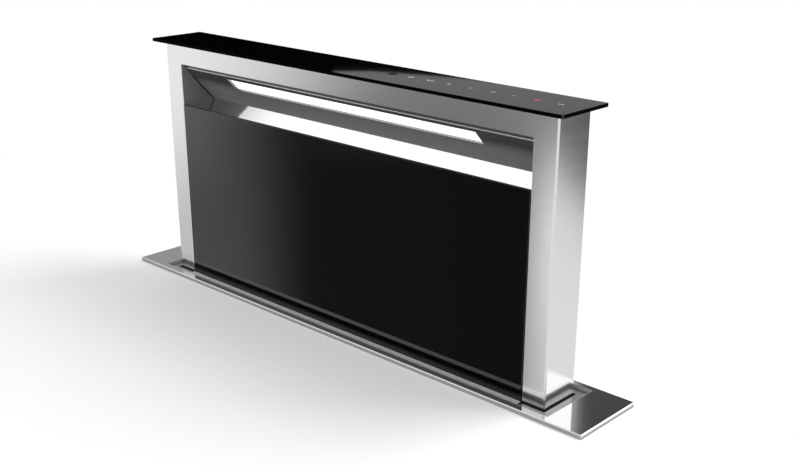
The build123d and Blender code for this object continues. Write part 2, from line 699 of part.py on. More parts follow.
def flap(side):
    """A half-round non-return flap that hangs on two pins."""
    hinge_y, play, half_thick = FAN_MIDDLE_Y + side * FLAP_OFFSET, 1.2, 0.8
    barrel_end, pin_end, notch, all_x = 64.5, 69.5, 11, (0, 200)
    radius = COLLAR_RADIUS - COLLAR_WALL - play
    disc = rod(radius, (FLAP_X - half_thick, FLAP_X + half_thick), (FAN_MIDDLE_Y, COLLAR_Z), "x")
    edges = sorted((hinge_y, FAN_MIDDLE_Y + side * 100))
    half = disc & block(all_x, edges, (COLLAR_Z - 80, COLLAR_Z + 80))
    for low, high in both(barrel_end, 80):
        near = sorted((FAN_MIDDLE_Y, FAN_MIDDLE_Y + side * notch))
        half -= block(all_x, near, (COLLAR_Z + low, COLLAR_Z + high))
    half += rod(3.0, (COLLAR_Z - barrel_end, COLLAR_Z + barrel_end), (FLAP_X, hinge_y))
    return half + rod(FLAP_PIN, (COLLAR_Z - pin_end, COLLAR_Z + pin_end), (FLAP_X, hinge_y))


# --- control box ---


def control_box():
    """The moulded box for the electronics, open at the front."""
    y = (-CASE_Y - CONTROL_DEPTH, -CASE_Y)
    box = block(CONTROL_X, y, CONTROL_Z)
    box = fillet(box.edges().filter_by(Axis.Y), 4.0)
    hollow_x = (CONTROL_X[0] + CONTROL_WALL, CONTROL_X[1] - CONTROL_WALL)
    hollow_z = (CONTROL_Z[0] + CONTROL_WALL, CONTROL_Z[1] - CONTROL_WALL)
    box -= block(hollow_x, (y[0] - 1, y[1] - CONTROL_WALL), hollow_z)
    inset = 20
    for x in (CONTROL_X[0] + inset, CONTROL_X[1] - inset):
        for z in (CONTROL_Z[0] + inset, CONTROL_Z[1] - inset):
            box += rod(4.0, (BOARD_FRONT, -CASE_Y - CONTROL_WALL), (x, z), "y")
    return box - rod(GLAND_RADIUS + 0.1, (CONTROL_Z[0] - 1, CONTROL_Z[0] + 5), (GLAND_X, GLAND_Y))


def control_cover():
    """The lid of the control box, with a sunk hole for a screw at each corner."""
    y, thick, inset = -CASE_Y - CONTROL_DEPTH, 3, 8
    cover = block(CONTROL_X, (y - thick, y), CONTROL_Z)
    cover = fillet(cover.edges().filter_by(Axis.Y), 4.0)
    cover = chamfer(cover.faces().sort_by(Axis.Y)[0].edges(), 1.0)
    for x in (CONTROL_X[0] + inset, CONTROL_X[1] - inset):
        for z in (CONTROL_Z[0] + inset, CONTROL_Z[1] - inset):
            cover -= rod(3.5, (y - thick - 1, y - thick / 2), (x, z), "y")
    return cover


def control_board():
    """The drive board for lamp, fan and lift, with relay, transformer and terminals."""
    face, inset = BOARD_FRONT - BOARD_THICK, 12
    spread_x = (CONTROL_X[0] + inset, CONTROL_X[1] - inset)
    board = block(spread_x, (face, BOARD_FRONT), (CONTROL_Z[0] + inset, CONTROL_Z[1] - inset))
    transformer, fan_relay, lamp_relay, capacitor = (
        (160, -340, 32, 22), (205, -338, 18, 16), (230, -338, 18, 16), (290, -345, 24, 14)
    )
    for x, z, size, high in (transformer, fan_relay, lamp_relay, capacitor):
        half = size / 2
        board += block((x - half, x + half), (face - high, face), (z - half, z + half))
    terminals = block((150, 270), (face - 12, face), (-412, -400))
    return board + terminals


def cable_gland():
    """The mains cable's gland in the floor of the control box."""
    z, place, cable_radius = CONTROL_Z[0], (GLAND_X, GLAND_Y), 4.0
    gland = rod(GLAND_RADIUS, (z - 14, z + 6), place)
    nut = extrude(Pos(GLAND_X, GLAND_Y, z - 6) * RegularPolygon(9.0, 6), 5.8)
    return gland + nut - rod(cable_radius, (z - 20, z + 10), place)


NODES = {
    "worktop_flange": worktop_flange,
    "slot_wiper": slot_wiper,
    "tower_glides": tower_glides,
    "case_front": case_front,
    "case_rear": case_rear,
    "case_side_left": lambda: case_side(-1),
    "case_side_right": lambda: case_side(1),
    "case_base": case_base,
    "case_screws": case_screws,
    "worktop_clamps": worktop_clamps,
    "floor_brackets": floor_brackets,
    "guide_rail_left": lambda: mirrored(guide_rail()),
    "guide_rail_right": guide_rail,
    "lead_screw_left": lambda: mirrored(lead_screw()),
    "lead_screw_right": lead_screw,
    "pulley_left": lambda: mirrored(pulley()),
    "pulley_right": pulley,
    "sync_belt": sync_belt,
    "screw_bearing": screw_bearing,
    "lift_gearmotor": lift_gearmotor,
    "carriage_left": lambda: mirrored(carriage()),
    "carriage_right": carriage,
    "roller_left_lower": lambda: mirrored(roller(ROLLER_HEIGHTS[0])),
    "roller_left_upper": lambda: mirrored(roller(ROLLER_HEIGHTS[1])),
    "roller_right_lower": lambda: roller(ROLLER_HEIGHTS[0]),
    "roller_right_upper": lambda: roller(ROLLER_HEIGHTS[1]),
    "screw_nuts": screw_nuts,
    "travel_sensors": travel_sensors,
    "tower_shell": tower_shell,
    "rear_cover": rear_cover,
    "top_glass": top_glass,
    "top_tray": top_tray,
    "touch_board": touch_board,
    "canopy_plate": canopy_plate,
    "lamp_housing": lamp_housing,
    "lamp_lens": lamp_lens,
    "lamp_board": lamp_board,
    "throat_baffle": throat_baffle,
    "front_glass": front_glass,
    "panel_tray": panel_tray,
    "panel_catches": panel_catches,
    "filter_frame_left": lambda: filter_frame(-1),
    "filter_frame_right": lambda: filter_frame(1),
    "filter_mesh_left": lambda: filter_mesh(-1),
    "filter_mesh_right": lambda: filter_mesh(1),
    "centre_post": centre_post,
    "drip_tray": drip_tray,
    "base_frame": base_frame,
    "blower_box": blower_box,
    "inlet_ring": inlet_ring,
    "fan_scroll": fan_scroll,
    "impeller": impeller,
    "fan_motor": fan_motor,
    "outlet_collar": outlet_collar,
    "flap_front": lambda: flap(-1),
    "flap_rear": lambda: flap(1),
    "control_box": control_box,
    "control_cover": control_cover,
    "control_board": control_board,
    "cable_gland": cable_gland,
}

os.makedirs("parts", exist_ok=True)
for node, make in NODES.items():
    export_step(make(), f"parts/{node}.step")
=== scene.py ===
import math

import bmesh
import bpy
from mathutils import Matrix, Vector


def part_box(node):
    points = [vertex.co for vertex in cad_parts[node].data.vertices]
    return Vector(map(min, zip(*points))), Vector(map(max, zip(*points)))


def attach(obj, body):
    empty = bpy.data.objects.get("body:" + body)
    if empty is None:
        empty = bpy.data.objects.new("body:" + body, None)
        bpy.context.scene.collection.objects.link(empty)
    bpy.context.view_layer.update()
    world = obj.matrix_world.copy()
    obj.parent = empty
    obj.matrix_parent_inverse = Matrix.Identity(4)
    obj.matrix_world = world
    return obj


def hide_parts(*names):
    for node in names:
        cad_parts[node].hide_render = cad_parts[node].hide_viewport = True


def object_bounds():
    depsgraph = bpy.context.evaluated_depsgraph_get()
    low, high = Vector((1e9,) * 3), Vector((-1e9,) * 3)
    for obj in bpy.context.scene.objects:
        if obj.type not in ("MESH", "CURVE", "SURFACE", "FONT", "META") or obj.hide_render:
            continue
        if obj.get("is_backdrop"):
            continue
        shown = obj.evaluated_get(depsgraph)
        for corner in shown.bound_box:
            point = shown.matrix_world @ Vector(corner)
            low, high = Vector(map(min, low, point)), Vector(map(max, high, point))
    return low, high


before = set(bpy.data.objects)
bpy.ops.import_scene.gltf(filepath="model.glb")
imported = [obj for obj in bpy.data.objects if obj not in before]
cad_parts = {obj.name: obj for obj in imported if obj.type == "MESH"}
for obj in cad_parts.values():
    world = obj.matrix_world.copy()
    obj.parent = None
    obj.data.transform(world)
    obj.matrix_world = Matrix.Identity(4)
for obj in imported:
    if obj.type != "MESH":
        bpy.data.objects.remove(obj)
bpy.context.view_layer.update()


# --- Camera ---
# The view stands to the right of the vent and above it, a little over 1.6 m away.
# It looks down at the front of the tower, with the lens of an ordinary product view.

CAMERA_PLACE = (1.06498, -1.03049, 0.63901)
CAMERA_TURN = 42.781
CAMERA_DOWN = 20.336
CAMERA_ROLL = 0.313
CAMERA_LENS = 49.92
CAMERA_SHIFT = (-0.010, 0.0384)

eye = bpy.data.cameras.new("camera")
eye.sensor_width = 36.0
eye.lens = CAMERA_LENS
eye.shift_x, eye.shift_y = CAMERA_SHIFT
camera = bpy.data.objects.new("camera", eye)
camera.matrix_world = (
    Matrix.Translation(CAMERA_PLACE)
    @ Matrix.Rotation(math.radians(CAMERA_TURN), 4, "Z")
    @ Matrix.Rotation(math.radians(90 - CAMERA_DOWN), 4, "X")
    @ Matrix.Rotation(math.radians(CAMERA_ROLL), 4, "Z")
)
bpy.context.scene.collection.objects.link(camera)
bpy.context.scene.camera = camera
bpy.context.scene.view_settings.view_transform = "Standard"


# --- Studio surround ---
# A white studio. What polished metal and glass mirror is the same white, with flags and softboxes
# stood round the set: they give steel its grey and bright bands and leave black glass black.


def linear(code):
    """The linear colour of an sRGB hex code such as #D2D2D0."""
    shares = [int(code[i : i + 2], 16) / 255 for i in (1, 3, 5)]
    shares = [s / 12.92 if s <= 0.04045 else ((s + 0.055) / 1.055) ** 2.4 for s in shares]
    return (*shares, 1.0)


def add(tree, kind, inputs=None, **settings):
    """Adds a node with its settings, and gives each input a value or the socket that feeds it."""
    node = tree.nodes.new(kind)
    for name, value in settings.items():
        setattr(node, name, value)
    for name, value in (inputs or {}).items():
        if isinstance(value, bpy.types.NodeSocket):
            tree.links.new(value, node.inputs[name])
        else:
            node.inputs[name].default_value = value
    return node


# Each flag: compass turn and height of its middle, its half sizes, how soft its edges are (all in
# degrees), how far it leans, and how bright it is. The turn runs from the front towards the left.
FLAGS = (
    ("front left card", (63.0, -25.0), (10.5, 13.0), (4.0, 6.0), 0.0, 0.80),
    ("front left softbox", (63.0, -4.0), (10.5, 11.0), (4.0, 6.0), 0.0, 1.30),
    ("front right softbox", (27.3, -18.5), (8.2, 4.0), (0.8, 3.0), 0.0, 1.55),
    ("front flag", (41.0, -27.7), (5.0, 15.2), (0.6, 2.0), 0.0, 0.08),
    ("front flag, soft side", (45.0, -27.7), (6.0, 15.2), (7.0, 2.0), 0.0, 0.10),
    ("upper front flag", (38.6, -1.0), (8.6, 13.5), (9.0, 2.5), 0.0, 0.29),
    ("front high softbox", (42.8, 25.5), (12.8, 10.5), (3.5, 2.0), 0.0, 1.45),
    ("left card", (72.8, 21.3), (17.2, 9.3), (3.5, 2.0), 0.0, 0.47),
    ("left back card", (116.0, 23.0), (17.0, 9.0), (2.0, 1.0), 0.0, 0.42),
    ("low back flag", (138.0, -3.0), (40.0, 17.0), (4.0, 0.8), 0.0, 0.0),
    ("high back softbox", (140.0, 30.0), (7.0, 6.0), (1.0, 3.0), 0.0, 1.4),
    ("high back flag", (168.3, 47.5), (21.85, 27.5), (1.9, 3.0), 0.0, 0.09),
    ("back panel", (156.0, 15.95), (22.7, 5.472), (0.3, 0.05), 0.0, 0.37),
    ("raised back flag", (156.5, 3.0), (21.5, 8.983), (0.3, 0.05), 0.0714, 0.0),
    ("right flag", (214.2, -3.4), (14.0, 12.5), (3.0, 0.8), 1.1, 0.12),
    ("right softbox", (214.0, 30.0), (12.0, 11.0), (8.0, 8.0), 0.0, 2.4),
)
# how bright the white is in mirrors, as the room's light, and straight to the camera
WHITE_LEVEL = 1.1
ROOM_LEVEL = 0.62
SEEN_LEVEL = 1.0

world = bpy.data.worlds.new("studio")
bpy.context.scene.world = world
world.use_nodes = True
sky = world.node_tree
sky.nodes.clear()
ray = add(sky, "ShaderNodeTexCoord").outputs["Generated"]
along = add(sky, "ShaderNodeSeparateXYZ", {0: ray})
left = add(sky, "ShaderNodeMath", {0: along.outputs["X"], 1: -1.0}, operation="MULTIPLY")
near = add(sky, "ShaderNodeMath", {0: along.outputs["Y"], 1: -1.0}, operation="MULTIPLY")
turn = add(sky, "ShaderNodeMath", {0: left.outputs[0], 1: near.outputs[0]}, operation="ARCTAN2")
turn = add(sky, "ShaderNodeMath", {0: turn.outputs[0]}, operation="DEGREES").outputs[0]
height = add(sky, "ShaderNodeMath", {0: along.outputs["Z"]}, operation="ARCSINE")
height = add(sky, "ShaderNodeMath", {0: height.outputs[0]}, operation="DEGREES").outputs[0]


def apart(angle, middle):
    """How far an angle is from a middle, the short way round."""
    away = add(sky, "ShaderNodeMath", {0: angle, 1: middle}, operation="SUBTRACT").outputs[0]
    return add(sky, "ShaderNodeMath", {0: away, 1: -180.0, 2: 180.0}, operation="WRAP").outputs[0]


def inside(away, half, soft):
    """1 where an angle lies within a flag, falling softly to 0 at its edge."""
    away = add(sky, "ShaderNodeMath", {0: away}, operation="ABSOLUTE").outputs[0]
    edge = {0: away, 1: half - soft / 2, 2: half + soft / 2, 3: 1.0, 4: 0.0}
    return add(sky, "ShaderNodeMapRange", edge, interpolation_type="SMOOTHSTEP").outputs[0]


mirrored = WHITE_LEVEL
for name, middle, half, soft, lean, level in FLAGS:
    sideways = apart(turn, middle[0])
    upward = apart(height, middle[1])
    upward = {0: sideways, 1: -lean, 2: upward}
    upward = add(sky, "ShaderNodeMath", upward, operation="MULTIPLY_ADD").outputs[0]
    across = inside(sideways, half[0], soft[0])
    upright = inside(upward, half[1], soft[1])
    share = add(sky, "ShaderNodeMath", {0: across, 1: upright}, operation="MULTIPLY", label=name)
    mirrored = add(sky, "ShaderNodeMix", {0: share.outputs[0], 2: mirrored, 3: level}).outputs[0]
path = add(sky, "ShaderNodeLightPath").outputs
seen = {0: path["Is Camera Ray"], 1: path["Is Transmission Ray"]}
seen = add(sky, "ShaderNodeMath", seen, operation="MAXIMUM").outputs[0]
level = add(sky, "ShaderNodeMix", {0: path["Is Glossy Ray"], 2: ROOM_LEVEL, 3: mirrored}).outputs[0]
level = add(sky, "ShaderNodeMix", {0: seen, 2: level, 3: SEEN_LEVEL}).outputs[0]
sky_light = add(sky, "ShaderNodeBackground", {"Color": (1, 1, 1, 1), "Strength": level})
add(sky, "ShaderNodeOutputWorld", {"Surface": sky_light.outputs[0]})


# --- Key lamp ---
# One large soft lamp high behind the right end of the vent, so that the tower's shadow falls softly
# to the front and left.

KEY_PLACE = (1.3, 1.7, 2.6)
KEY_SIZE = 2.0
KEY_POWER = 75.0

key = bpy.data.lights.new("key_lamp", "AREA")
key.shape = "SQUARE"
key.size = KEY_SIZE
key.energy = KEY_POWER
key_lamp = bpy.data.objects.new("key_lamp", key)
key_lamp.location = KEY_PLACE
key_lamp.rotation_euler = (-Vector(KEY_PLACE)).to_track_quat("-Z", "Y").to_euler()
key_lamp.visible_glossy = False
bpy.context.scene.collection.objects.link(key_lamp)


# --- Worktop ---
# A plain white worktop with the vent's cut-out in it. It ends just behind the vent, and shows only
# from above, so that the case under it can be seen from the back and sides.

WORKTOP_X = (-1.6, 1.5)
WORKTOP_Y = (-1.15, 0.10)
CUTOUT_X = 0.400
CUTOUT_Y = 0.050
# a white that the camera alone sees added to the laminate's own, so that it lights nothing
WORKTOP_GLOW = 0.26


def link(name, mesh):
    """The object of a finished bmesh, in the scene."""
    data = bpy.data.meshes.new(name)
    mesh.to_mesh(data)
    mesh.free()
    thing = bpy.data.objects.new(name, data)
    bpy.context.scene.collection.objects.link(thing)
    return thing


board = bmesh.new()
columns = (WORKTOP_X[0], -CUTOUT_X, CUTOUT_X, WORKTOP_X[1])
rows = (WORKTOP_Y[0], -CUTOUT_Y, CUTOUT_Y, WORKTOP_Y[1])
for i in range(3):
    for j in range(3):
        if (i, j) != (1, 1):
            steps = ((0, 0), (1, 0), (1, 1), (0, 1))
            corners = [(columns[i + across], rows[j + back], 0.0) for across, back in steps]
            board.faces.new([board.verts.new(corner) for corner in corners])
bmesh.ops.remove_doubles(board, verts=board.verts, dist=1e-6)
worktop = link("worktop", board)
worktop.visible_glossy = False
worktop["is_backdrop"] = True

laminate = bpy.data.materials.new("white_laminate")
laminate.use_nodes = True
tree = laminate.node_tree
tree.nodes.clear()
matt = add(tree, "ShaderNodeBsdfDiffuse", {"Color": linear("#E9E9E9")})
path = add(tree, "ShaderNodeLightPath").outputs
glow = {0: path["Is Camera Ray"], 1: WORKTOP_GLOW}
glow = add(tree, "ShaderNodeMath", glow, operation="MULTIPLY").outputs[0]
lift = add(tree, "ShaderNodeEmission", {"Strength": glow})
face = add(tree, "ShaderNodeAddShader", {0: matt.outputs[0], 1: lift.outputs[0]})
clear = add(tree, "ShaderNodeBsdfTransparent")
below = add(tree, "ShaderNodeNewGeometry").outputs["Backfacing"]
sheet = add(tree, "ShaderNodeMixShader", {0: below, 1: face.outputs[0], 2: clear.outputs[0]})
add(tree, "ShaderNodeOutputMaterial", {"Surface": sheet.outputs[0]})
worktop.data.materials.append(laminate)


# --- Worktop flange ---
# A stainless plate with a bevelled rim and a milled recess in which the top glass lies when the
# tower is down. It is brushed along its length and carries the whole vent on the worktop.

# how deep the brush lines are drawn, in mm
BRUSH_DEPTH = 0.02


def brushed_metal(name, lines_mm, across, tone, rough, spread=0.5):
    """Metal brushed with a fine belt: soft reflections, drawn out square to the lines."""
    metal = bpy.data.materials.new(name)
    metal.use_nodes = True
    tree = metal.node_tree
    surface = tree.nodes["Principled BSDF"]
    place = add(tree, "ShaderNodeTexCoord").outputs["Object"]
    fine = [1000 / size for size in lines_mm]
    fine = add(tree, "ShaderNodeMapping", {"Vector": place, "Scale": fine}).outputs[0]
    fine = {"Vector": fine, "Scale": 1.0, "Detail": 3.0}
    fine = add(tree, "ShaderNodeTexNoise", fine).outputs["Fac"]
    broad = [1000 / max(6, 3 * size) for size in lines_mm]
    broad = add(tree, "ShaderNodeMapping", {"Vector": place, "Scale": broad}).outputs[0]
    broad = {"Vector": broad, "Scale": 1.0, "Detail": 2.0}
    broad = add(tree, "ShaderNodeTexNoise", broad).outputs["Fac"]
    both = add(tree, "ShaderNodeMix", {0: 0.35, 2: fine, 3: broad}).outputs[0]
    matt = {0: both, 1: 0.35, 2: 0.65, 3: rough * 0.88, 4: rough * 1.12}
    matt = add(tree, "ShaderNodeMapRange", matt).outputs[0]
    light = [min(1.0, share * 1.03) for share in linear(tone)]
    dark = [share * 0.94 for share in linear(tone)[:3]] + [1.0]
    tint = add(tree, "ShaderNodeMix", {0: both, 6: dark, 7: light}, data_type="RGBA").outputs[2]
    lines = {"Height": fine, "Strength": 0.4, "Distance": BRUSH_DEPTH / 1000}
    lines = add(tree, "ShaderNodeBump", lines).outputs[0]
    ways = add(tree, "ShaderNodeCombineXYZ", dict(zip("XYZ", across))).outputs[0]
    sockets = {"Base Color": tint, "Roughness": matt, "Normal": lines, "Tangent": ways}
    for socket, value in sockets.items():
        tree.links.new(value, surface.inputs[socket])
    surface.inputs["Metallic"].default_value = 1.0
    surface.inputs["Anisotropic"].default_value = spread
    return metal


def dress(material, *nodes):
    """Gives pieces of the frame their finish."""
    for node in nodes:
        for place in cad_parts[node].material_slots:
            place.material = material


def refinish(metal, share, shade, dulling):
    """Shades and dulls the part of a metal's surface where the share is 1."""
    tree = metal.node_tree
    surface = tree.nodes["Principled BSDF"]
    tint = {0: share, 6: surface.inputs["Base Color"].links[0].from_socket, 7: linear(shade)}
    tint = add(tree, "ShaderNodeMix", tint, data_type="RGBA", blend_type="MULTIPLY").outputs[2]
    tree.links.new(tint, surface.inputs["Base Color"])
    times = add(tree, "ShaderNodeMix", {0: share, 2: 1.0, 3: dulling}).outputs[0]
    matt = {0: surface.inputs["Roughness"].links[0].from_socket, 1: times}
    matt = add(tree, "ShaderNodeMath", matt, operation="MULTIPLY").outputs[0]
    tree.links.new(matt, surface.inputs["Roughness"])


# real brush lines are 0.05 mm apart; here they are drawn 0.5 mm apart, to show at this size
FLANGE_LINES = (90, 0.5, 0.5)
# the way across the lines, leaning a little so that no face looks straight along it
FLANGE_ACROSS = (0.03, 1, 0.03)
# where the recess's floor, the plate's rim and the recess's walls lie, in metres
FLOOR_BELOW = 0.003
RIM_BEYOND = 0.0579
RECESS_WITHIN = (0.3845, 0.0478)
WALL_ABOVE = 0.0013

flange_steel = brushed_metal(
    "stainless_brushed_along", FLANGE_LINES, FLANGE_ACROSS, "#D0D0D0", 0.055, 0.2
)
tree = flange_steel.node_tree
place = add(tree, "ShaderNodeTexCoord").outputs["Object"]
place = add(tree, "ShaderNodeSeparateXYZ", {0: place}).outputs
low = add(tree, "ShaderNodeMath", {0: place["Z"], 1: FLOOR_BELOW}, operation="LESS_THAN").outputs[0]
away = []
for axis in "XY":
    away.append(add(tree, "ShaderNodeMath", {0: place[axis]}, operation="ABSOLUTE").outputs[0])
rim = add(tree, "ShaderNodeMath", {0: away[1], 1: RIM_BEYOND}, operation="GREATER_THAN").outputs[0]
wall = {0: place["Z"], 1: WALL_ABOVE}
wall = add(tree, "ShaderNodeMath", wall, operation="GREATER_THAN").outputs[0]
for size, limit in zip(away, RECESS_WITHIN):
    within = add(tree, "ShaderNodeMath", {0: size, 1: limit}, operation="LESS_THAN").outputs[0]
    wall = add(tree, "ShaderNodeMath", {0: wall, 1: within}, operation="MULTIPLY").outputs[0]
floor = add(tree, "ShaderNodeMath", {0: low, 1: rim}, operation="GREATER_THAN").outputs[0]
floor = add(tree, "ShaderNodeMath", {0: floor, 1: wall}, operation="GREATER_THAN").outputs[0]
# the recess's floor is milled satin and its walls rougher, and the sheared rim is only deburred
refinish(flange_steel, wall, "#FFFFFF", 14.0)
refinish(flange_steel, floor, "#C6C6C6", 6.6)
refinish(flange_steel, rim, "#C8C8C8", 9.2)
dress(flange_steel, "worktop_flange")

# a thin steel sill is spot-welded to the floor before the front panel, and closes the slot there
SILL_X = 331.5
SILL_Y = (-38.4, -30.7)
SILL_Z = (1.2, 1.42)
SILL_BEVEL = 0.15
BLAST_MARKS = (1.5, 1.5, 1.5)

sill = bmesh.new()
bmesh.ops.create_cube(sill, size=1.0)
size = (2 * SILL_X, SILL_Y[1] - SILL_Y[0], SILL_Z[1] - SILL_Z[0])
bmesh.ops.scale(sill, vec=[part / 1000 for part in size], verts=sill.verts)
bmesh.ops.translate(sill, vec=(0, sum(SILL_Y) / 2000, sum(SILL_Z) / 2000), verts=sill.verts)
near_edge = [edge for edge in sill.edges if all(v.co.y < sum(SILL_Y) / 2000 for v in edge.verts)]
near_edge = [edge for edge in near_edge if all(v.co.z > sum(SILL_Z) / 2000 for v in edge.verts)]
bmesh.ops.bevel(sill, geom=near_edge, offset=SILL_BEVEL / 1000, segments=1, affect="EDGES")
slot_sill = link("slot_sill", sill)
blasted_steel = brushed_metal("stainless_blasted", BLAST_MARKS, FLANGE_ACROSS, "#E2E2E2", 0.85, 0.0)
slot_sill.data.materials.append(blasted_steel)
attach(slot_sill, "chassis")


# --- Slot wiper and glides ---
# A nitrile rubber lip round the slot wipes the tower as it sinks. Acetal pads inside the case
# keep the tower from rattling against the walls.

# how wide the clouds in a moulded colour are, in mm
MOULDED_CLOUDS = 40


def moulded(name, tone, grit_mm, rough, depth_mm=0.02, spread=0.06):
    """A moulded plastic or rubber: an even colour, with the fine grit of a spark-eroded mould."""
    plastic = bpy.data.materials.new(name)
    plastic.use_nodes = True
    tree = plastic.node_tree
    surface = tree.nodes["Principled BSDF"]
    place = add(tree, "ShaderNodeTexCoord").outputs["Object"]
    grit = {"Vector": place, "Scale": 1000 / grit_mm, "Detail": 2.0}
    grit = add(tree, "ShaderNodeTexNoise", grit).outputs["Fac"]
    cloud = {"Vector": place, "Scale": 1000 / MOULDED_CLOUDS, "Detail": 3.0}
    cloud = add(tree, "ShaderNodeTexNoise", cloud).outputs["Fac"]
    matt = {0: grit, 1: 0.3, 2: 0.7, 3: rough - 0.06, 4: rough + 0.06}
    matt = add(tree, "ShaderNodeMapRange", matt).outputs[0]
    dark = [share * (1 - spread) for share in linear(tone)[:3]] + [1.0]
    tint = {0: cloud, 6: dark, 7: linear(tone)}
    tint = add(tree, "ShaderNodeMix", tint, data_type="RGBA").outputs[2]
    bump = {"Height": grit, "Strength": 0.6, "Distance": depth_mm / 1000}
    bump = add(tree, "ShaderNodeBump", bump).outputs[0]
    for socket, value in (("Base Color", tint), ("Roughness", matt), ("Normal", bump)):
        tree.links.new(value, surface.inputs[socket])
    return plastic


# the wiper's lip stands up in the slot and laps over the recess's floor before and behind it
LIP_INSIDE = (367.4, 30.4)
LIP_OUTSIDE = (369.7, 33.9)
LIP_Z = (-0.5, 1.3)

nitrile = moulded("nitrile_rubber", "#101010", 0.8, 0.62)
nitrile.node_tree.nodes["Principled BSDF"].inputs["Specular IOR Level"].default_value = 0.1
dress(nitrile, "slot_wiper")
lip = bmesh.new()
rings = []
section = ((*LIP_OUTSIDE, LIP_Z[0]), (*LIP_OUTSIDE, LIP_Z[1]))
section += ((*LIP_INSIDE, LIP_Z[1]), (*LIP_INSIDE, LIP_Z[0]))
for x, y, z in section:
    corners = ((-x, -y), (x, -y), (x, y), (-x, y))
    rings.append([lip.verts.new((a / 1000, b / 1000, z / 1000)) for a, b in corners])
for index in range(4):
    here, there = rings[index], rings[(index + 1) % 4]
    for side in range(4):
        after = (side + 1) % 4
        lip.faces.new((here[side], here[after], there[after], there[side]))
bmesh.ops.recalc_face_normals(lip, faces=lip.faces)
wiper_lip = link("wiper_lip", lip)
wiper_lip.data.materials.append(nitrile)
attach(wiper_lip, "chassis")
acetal = moulded("acetal_off_white", "#DEDCD2", 1.0, 0.42, 0.01)
dress(acetal, "tower_glides")


# --- Tower shell and rear cover ---
# The portal frame is folded from one stainless sheet, brushed level round all its sides. The inner
# leg walls, seen at the ends of the intake, are lined with a grey film that hides grease.

TOWER_LINES = (90, 90, 0.5)
TOWER_ACROSS = (0.03, 0.02, 1)
# the film ends this far from the middle, and starts behind this depth, in metres
LINING_REACH = 0.33265
LINING_FRONT = -0.0290

shell_steel = brushed_metal("stainless_brushed_level", TOWER_LINES, TOWER_ACROSS, "#D2D2D2", 0.14)
tree = shell_steel.node_tree
place = add(tree, "ShaderNodeTexCoord").outputs["Object"]
place = add(tree, "ShaderNodeSeparateXYZ", {0: place}).outputs
away = add(tree, "ShaderNodeMath", {0: place["X"]}, operation="ABSOLUTE").outputs[0]
within = add(tree, "ShaderNodeMath", {0: away, 1: LINING_REACH}, operation="LESS_THAN").outputs[0]
behind = {0: place["Y"], 1: LINING_FRONT}
behind = add(tree, "ShaderNodeMath", behind, operation="GREATER_THAN").outputs[0]
lined = add(tree, "ShaderNodeMath", {0: within, 1: behind}, operation="MULTIPLY").outputs[0]
refinish(shell_steel, lined, "#AAAAAB", 3.2)
steel_share = add(tree, "ShaderNodeMath", {0: 1.0, 1: lined}, operation="SUBTRACT").outputs[0]
tree.links.new(steel_share, tree.nodes["Principled BSDF"].inputs["Metallic"])
dress(shell_steel, "tower_shell", "rear_cover")


# --- Top glass and its touch marks ---
# A slab of toughened glass, printed black underneath, with its edges ground and painted. The touch
# marks are fired on its face in pale grey ink, and the one that is on is lit red. A round window of
# smoked film covers the display.

# in mm: toughening rollers leave a swell that shows only in reflections, and a cloth its wipe marks
GLASS_SWELL = 80
SWELL_DEPTH = 0.02
GLASS_WIPES = 12


def black_glass(name, rough):
    """Float glass printed black behind: a deep black with one clear, thin reflection."""
    glass = bpy.data.materials.new(name)
    glass.use_nodes = True
    tree = glass.node_tree
    surface = tree.nodes["Principled BSDF"]
    place = add(tree, "ShaderNodeTexCoord").outputs["Object"]
    swell = {"Vector": place, "Scale": 1000 / GLASS_SWELL, "Detail": 1.0}
    swell = add(tree, "ShaderNodeTexNoise", swell).outputs["Fac"]
    wipe = {"Vector": place, "Scale": 1000 / GLASS_WIPES, "Detail": 4.0}
    wipe = add(tree, "ShaderNodeTexNoise", wipe).outputs["Fac"]
    matt = add(tree, "ShaderNodeMapRange", {0: wipe, 3: rough, 4: rough * 2}).outputs[0]
    tint = {0: wipe, 6: linear("#040405"), 7: linear("#070708")}
    tint = add(tree, "ShaderNodeMix", tint, data_type="RGBA").outputs[2]
    bump = {"Height": swell, "Strength": 0.2, "Distance": SWELL_DEPTH / 1000}
    bump = add(tree, "ShaderNodeBump", bump).outputs[0]
    for socket, value in (("Base Color", tint), ("Roughness", matt), ("Normal", bump)):
        tree.links.new(value, surface.inputs[socket])
    surface.inputs["IOR"].default_value = 1.52
    return glass


dress(black_glass("glass_printed_black", 0.015), "top_glass", "front_glass")

INK_THICK = 0.00003
# each mark: its middle, its reach and its hole's, how far it is turned, and how flat it is
TOUCH_MARKS = (
    ((115, 0), 4.2, 3.1, 0, 1.0),
    ((115, 0), 1.5, 0, 0, 1.0),
    ((143.6, 0.5), 3.0, 0, 0, 0.55),
    ((150.4, 0.5), 3.0, 0, 0, 0.55),
    ((147, -2.6), 1.1, 0, 0, 1.0),
    ((179, 0), 3.6, 0, -24, 0.34),
    ((176, 1.4), 1.4, 0, 0, 1.0),
    ((214, 0), 2.2, 0, 0, 1.0),
    ((214, 0), 3.6, 0, 55, 0.22),
    ((248, 0), 3.4, 0, 38, 0.36),
    ((279, 0), 1.5, 0, 0, 1.0),
    ((347, 0), 4.4, 0, 0, 0.32),
    ((347, 0), 1.1, 0, 0, 2.2),
    ((87.5, 3.0), 1.5, 0, 0, 0.6),
)
LIT_MARKS = (((313, 0), 4.6, 2.6, 0, 0.62), ((313, 0), 2.0, 0, 0, 0.62))
LIT_GLOW = 0.12
WINDOW_MIDDLE = (82.5, 0)
WINDOW_REACH = 6.6

glass_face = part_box("top_glass")[1].z + INK_THICK


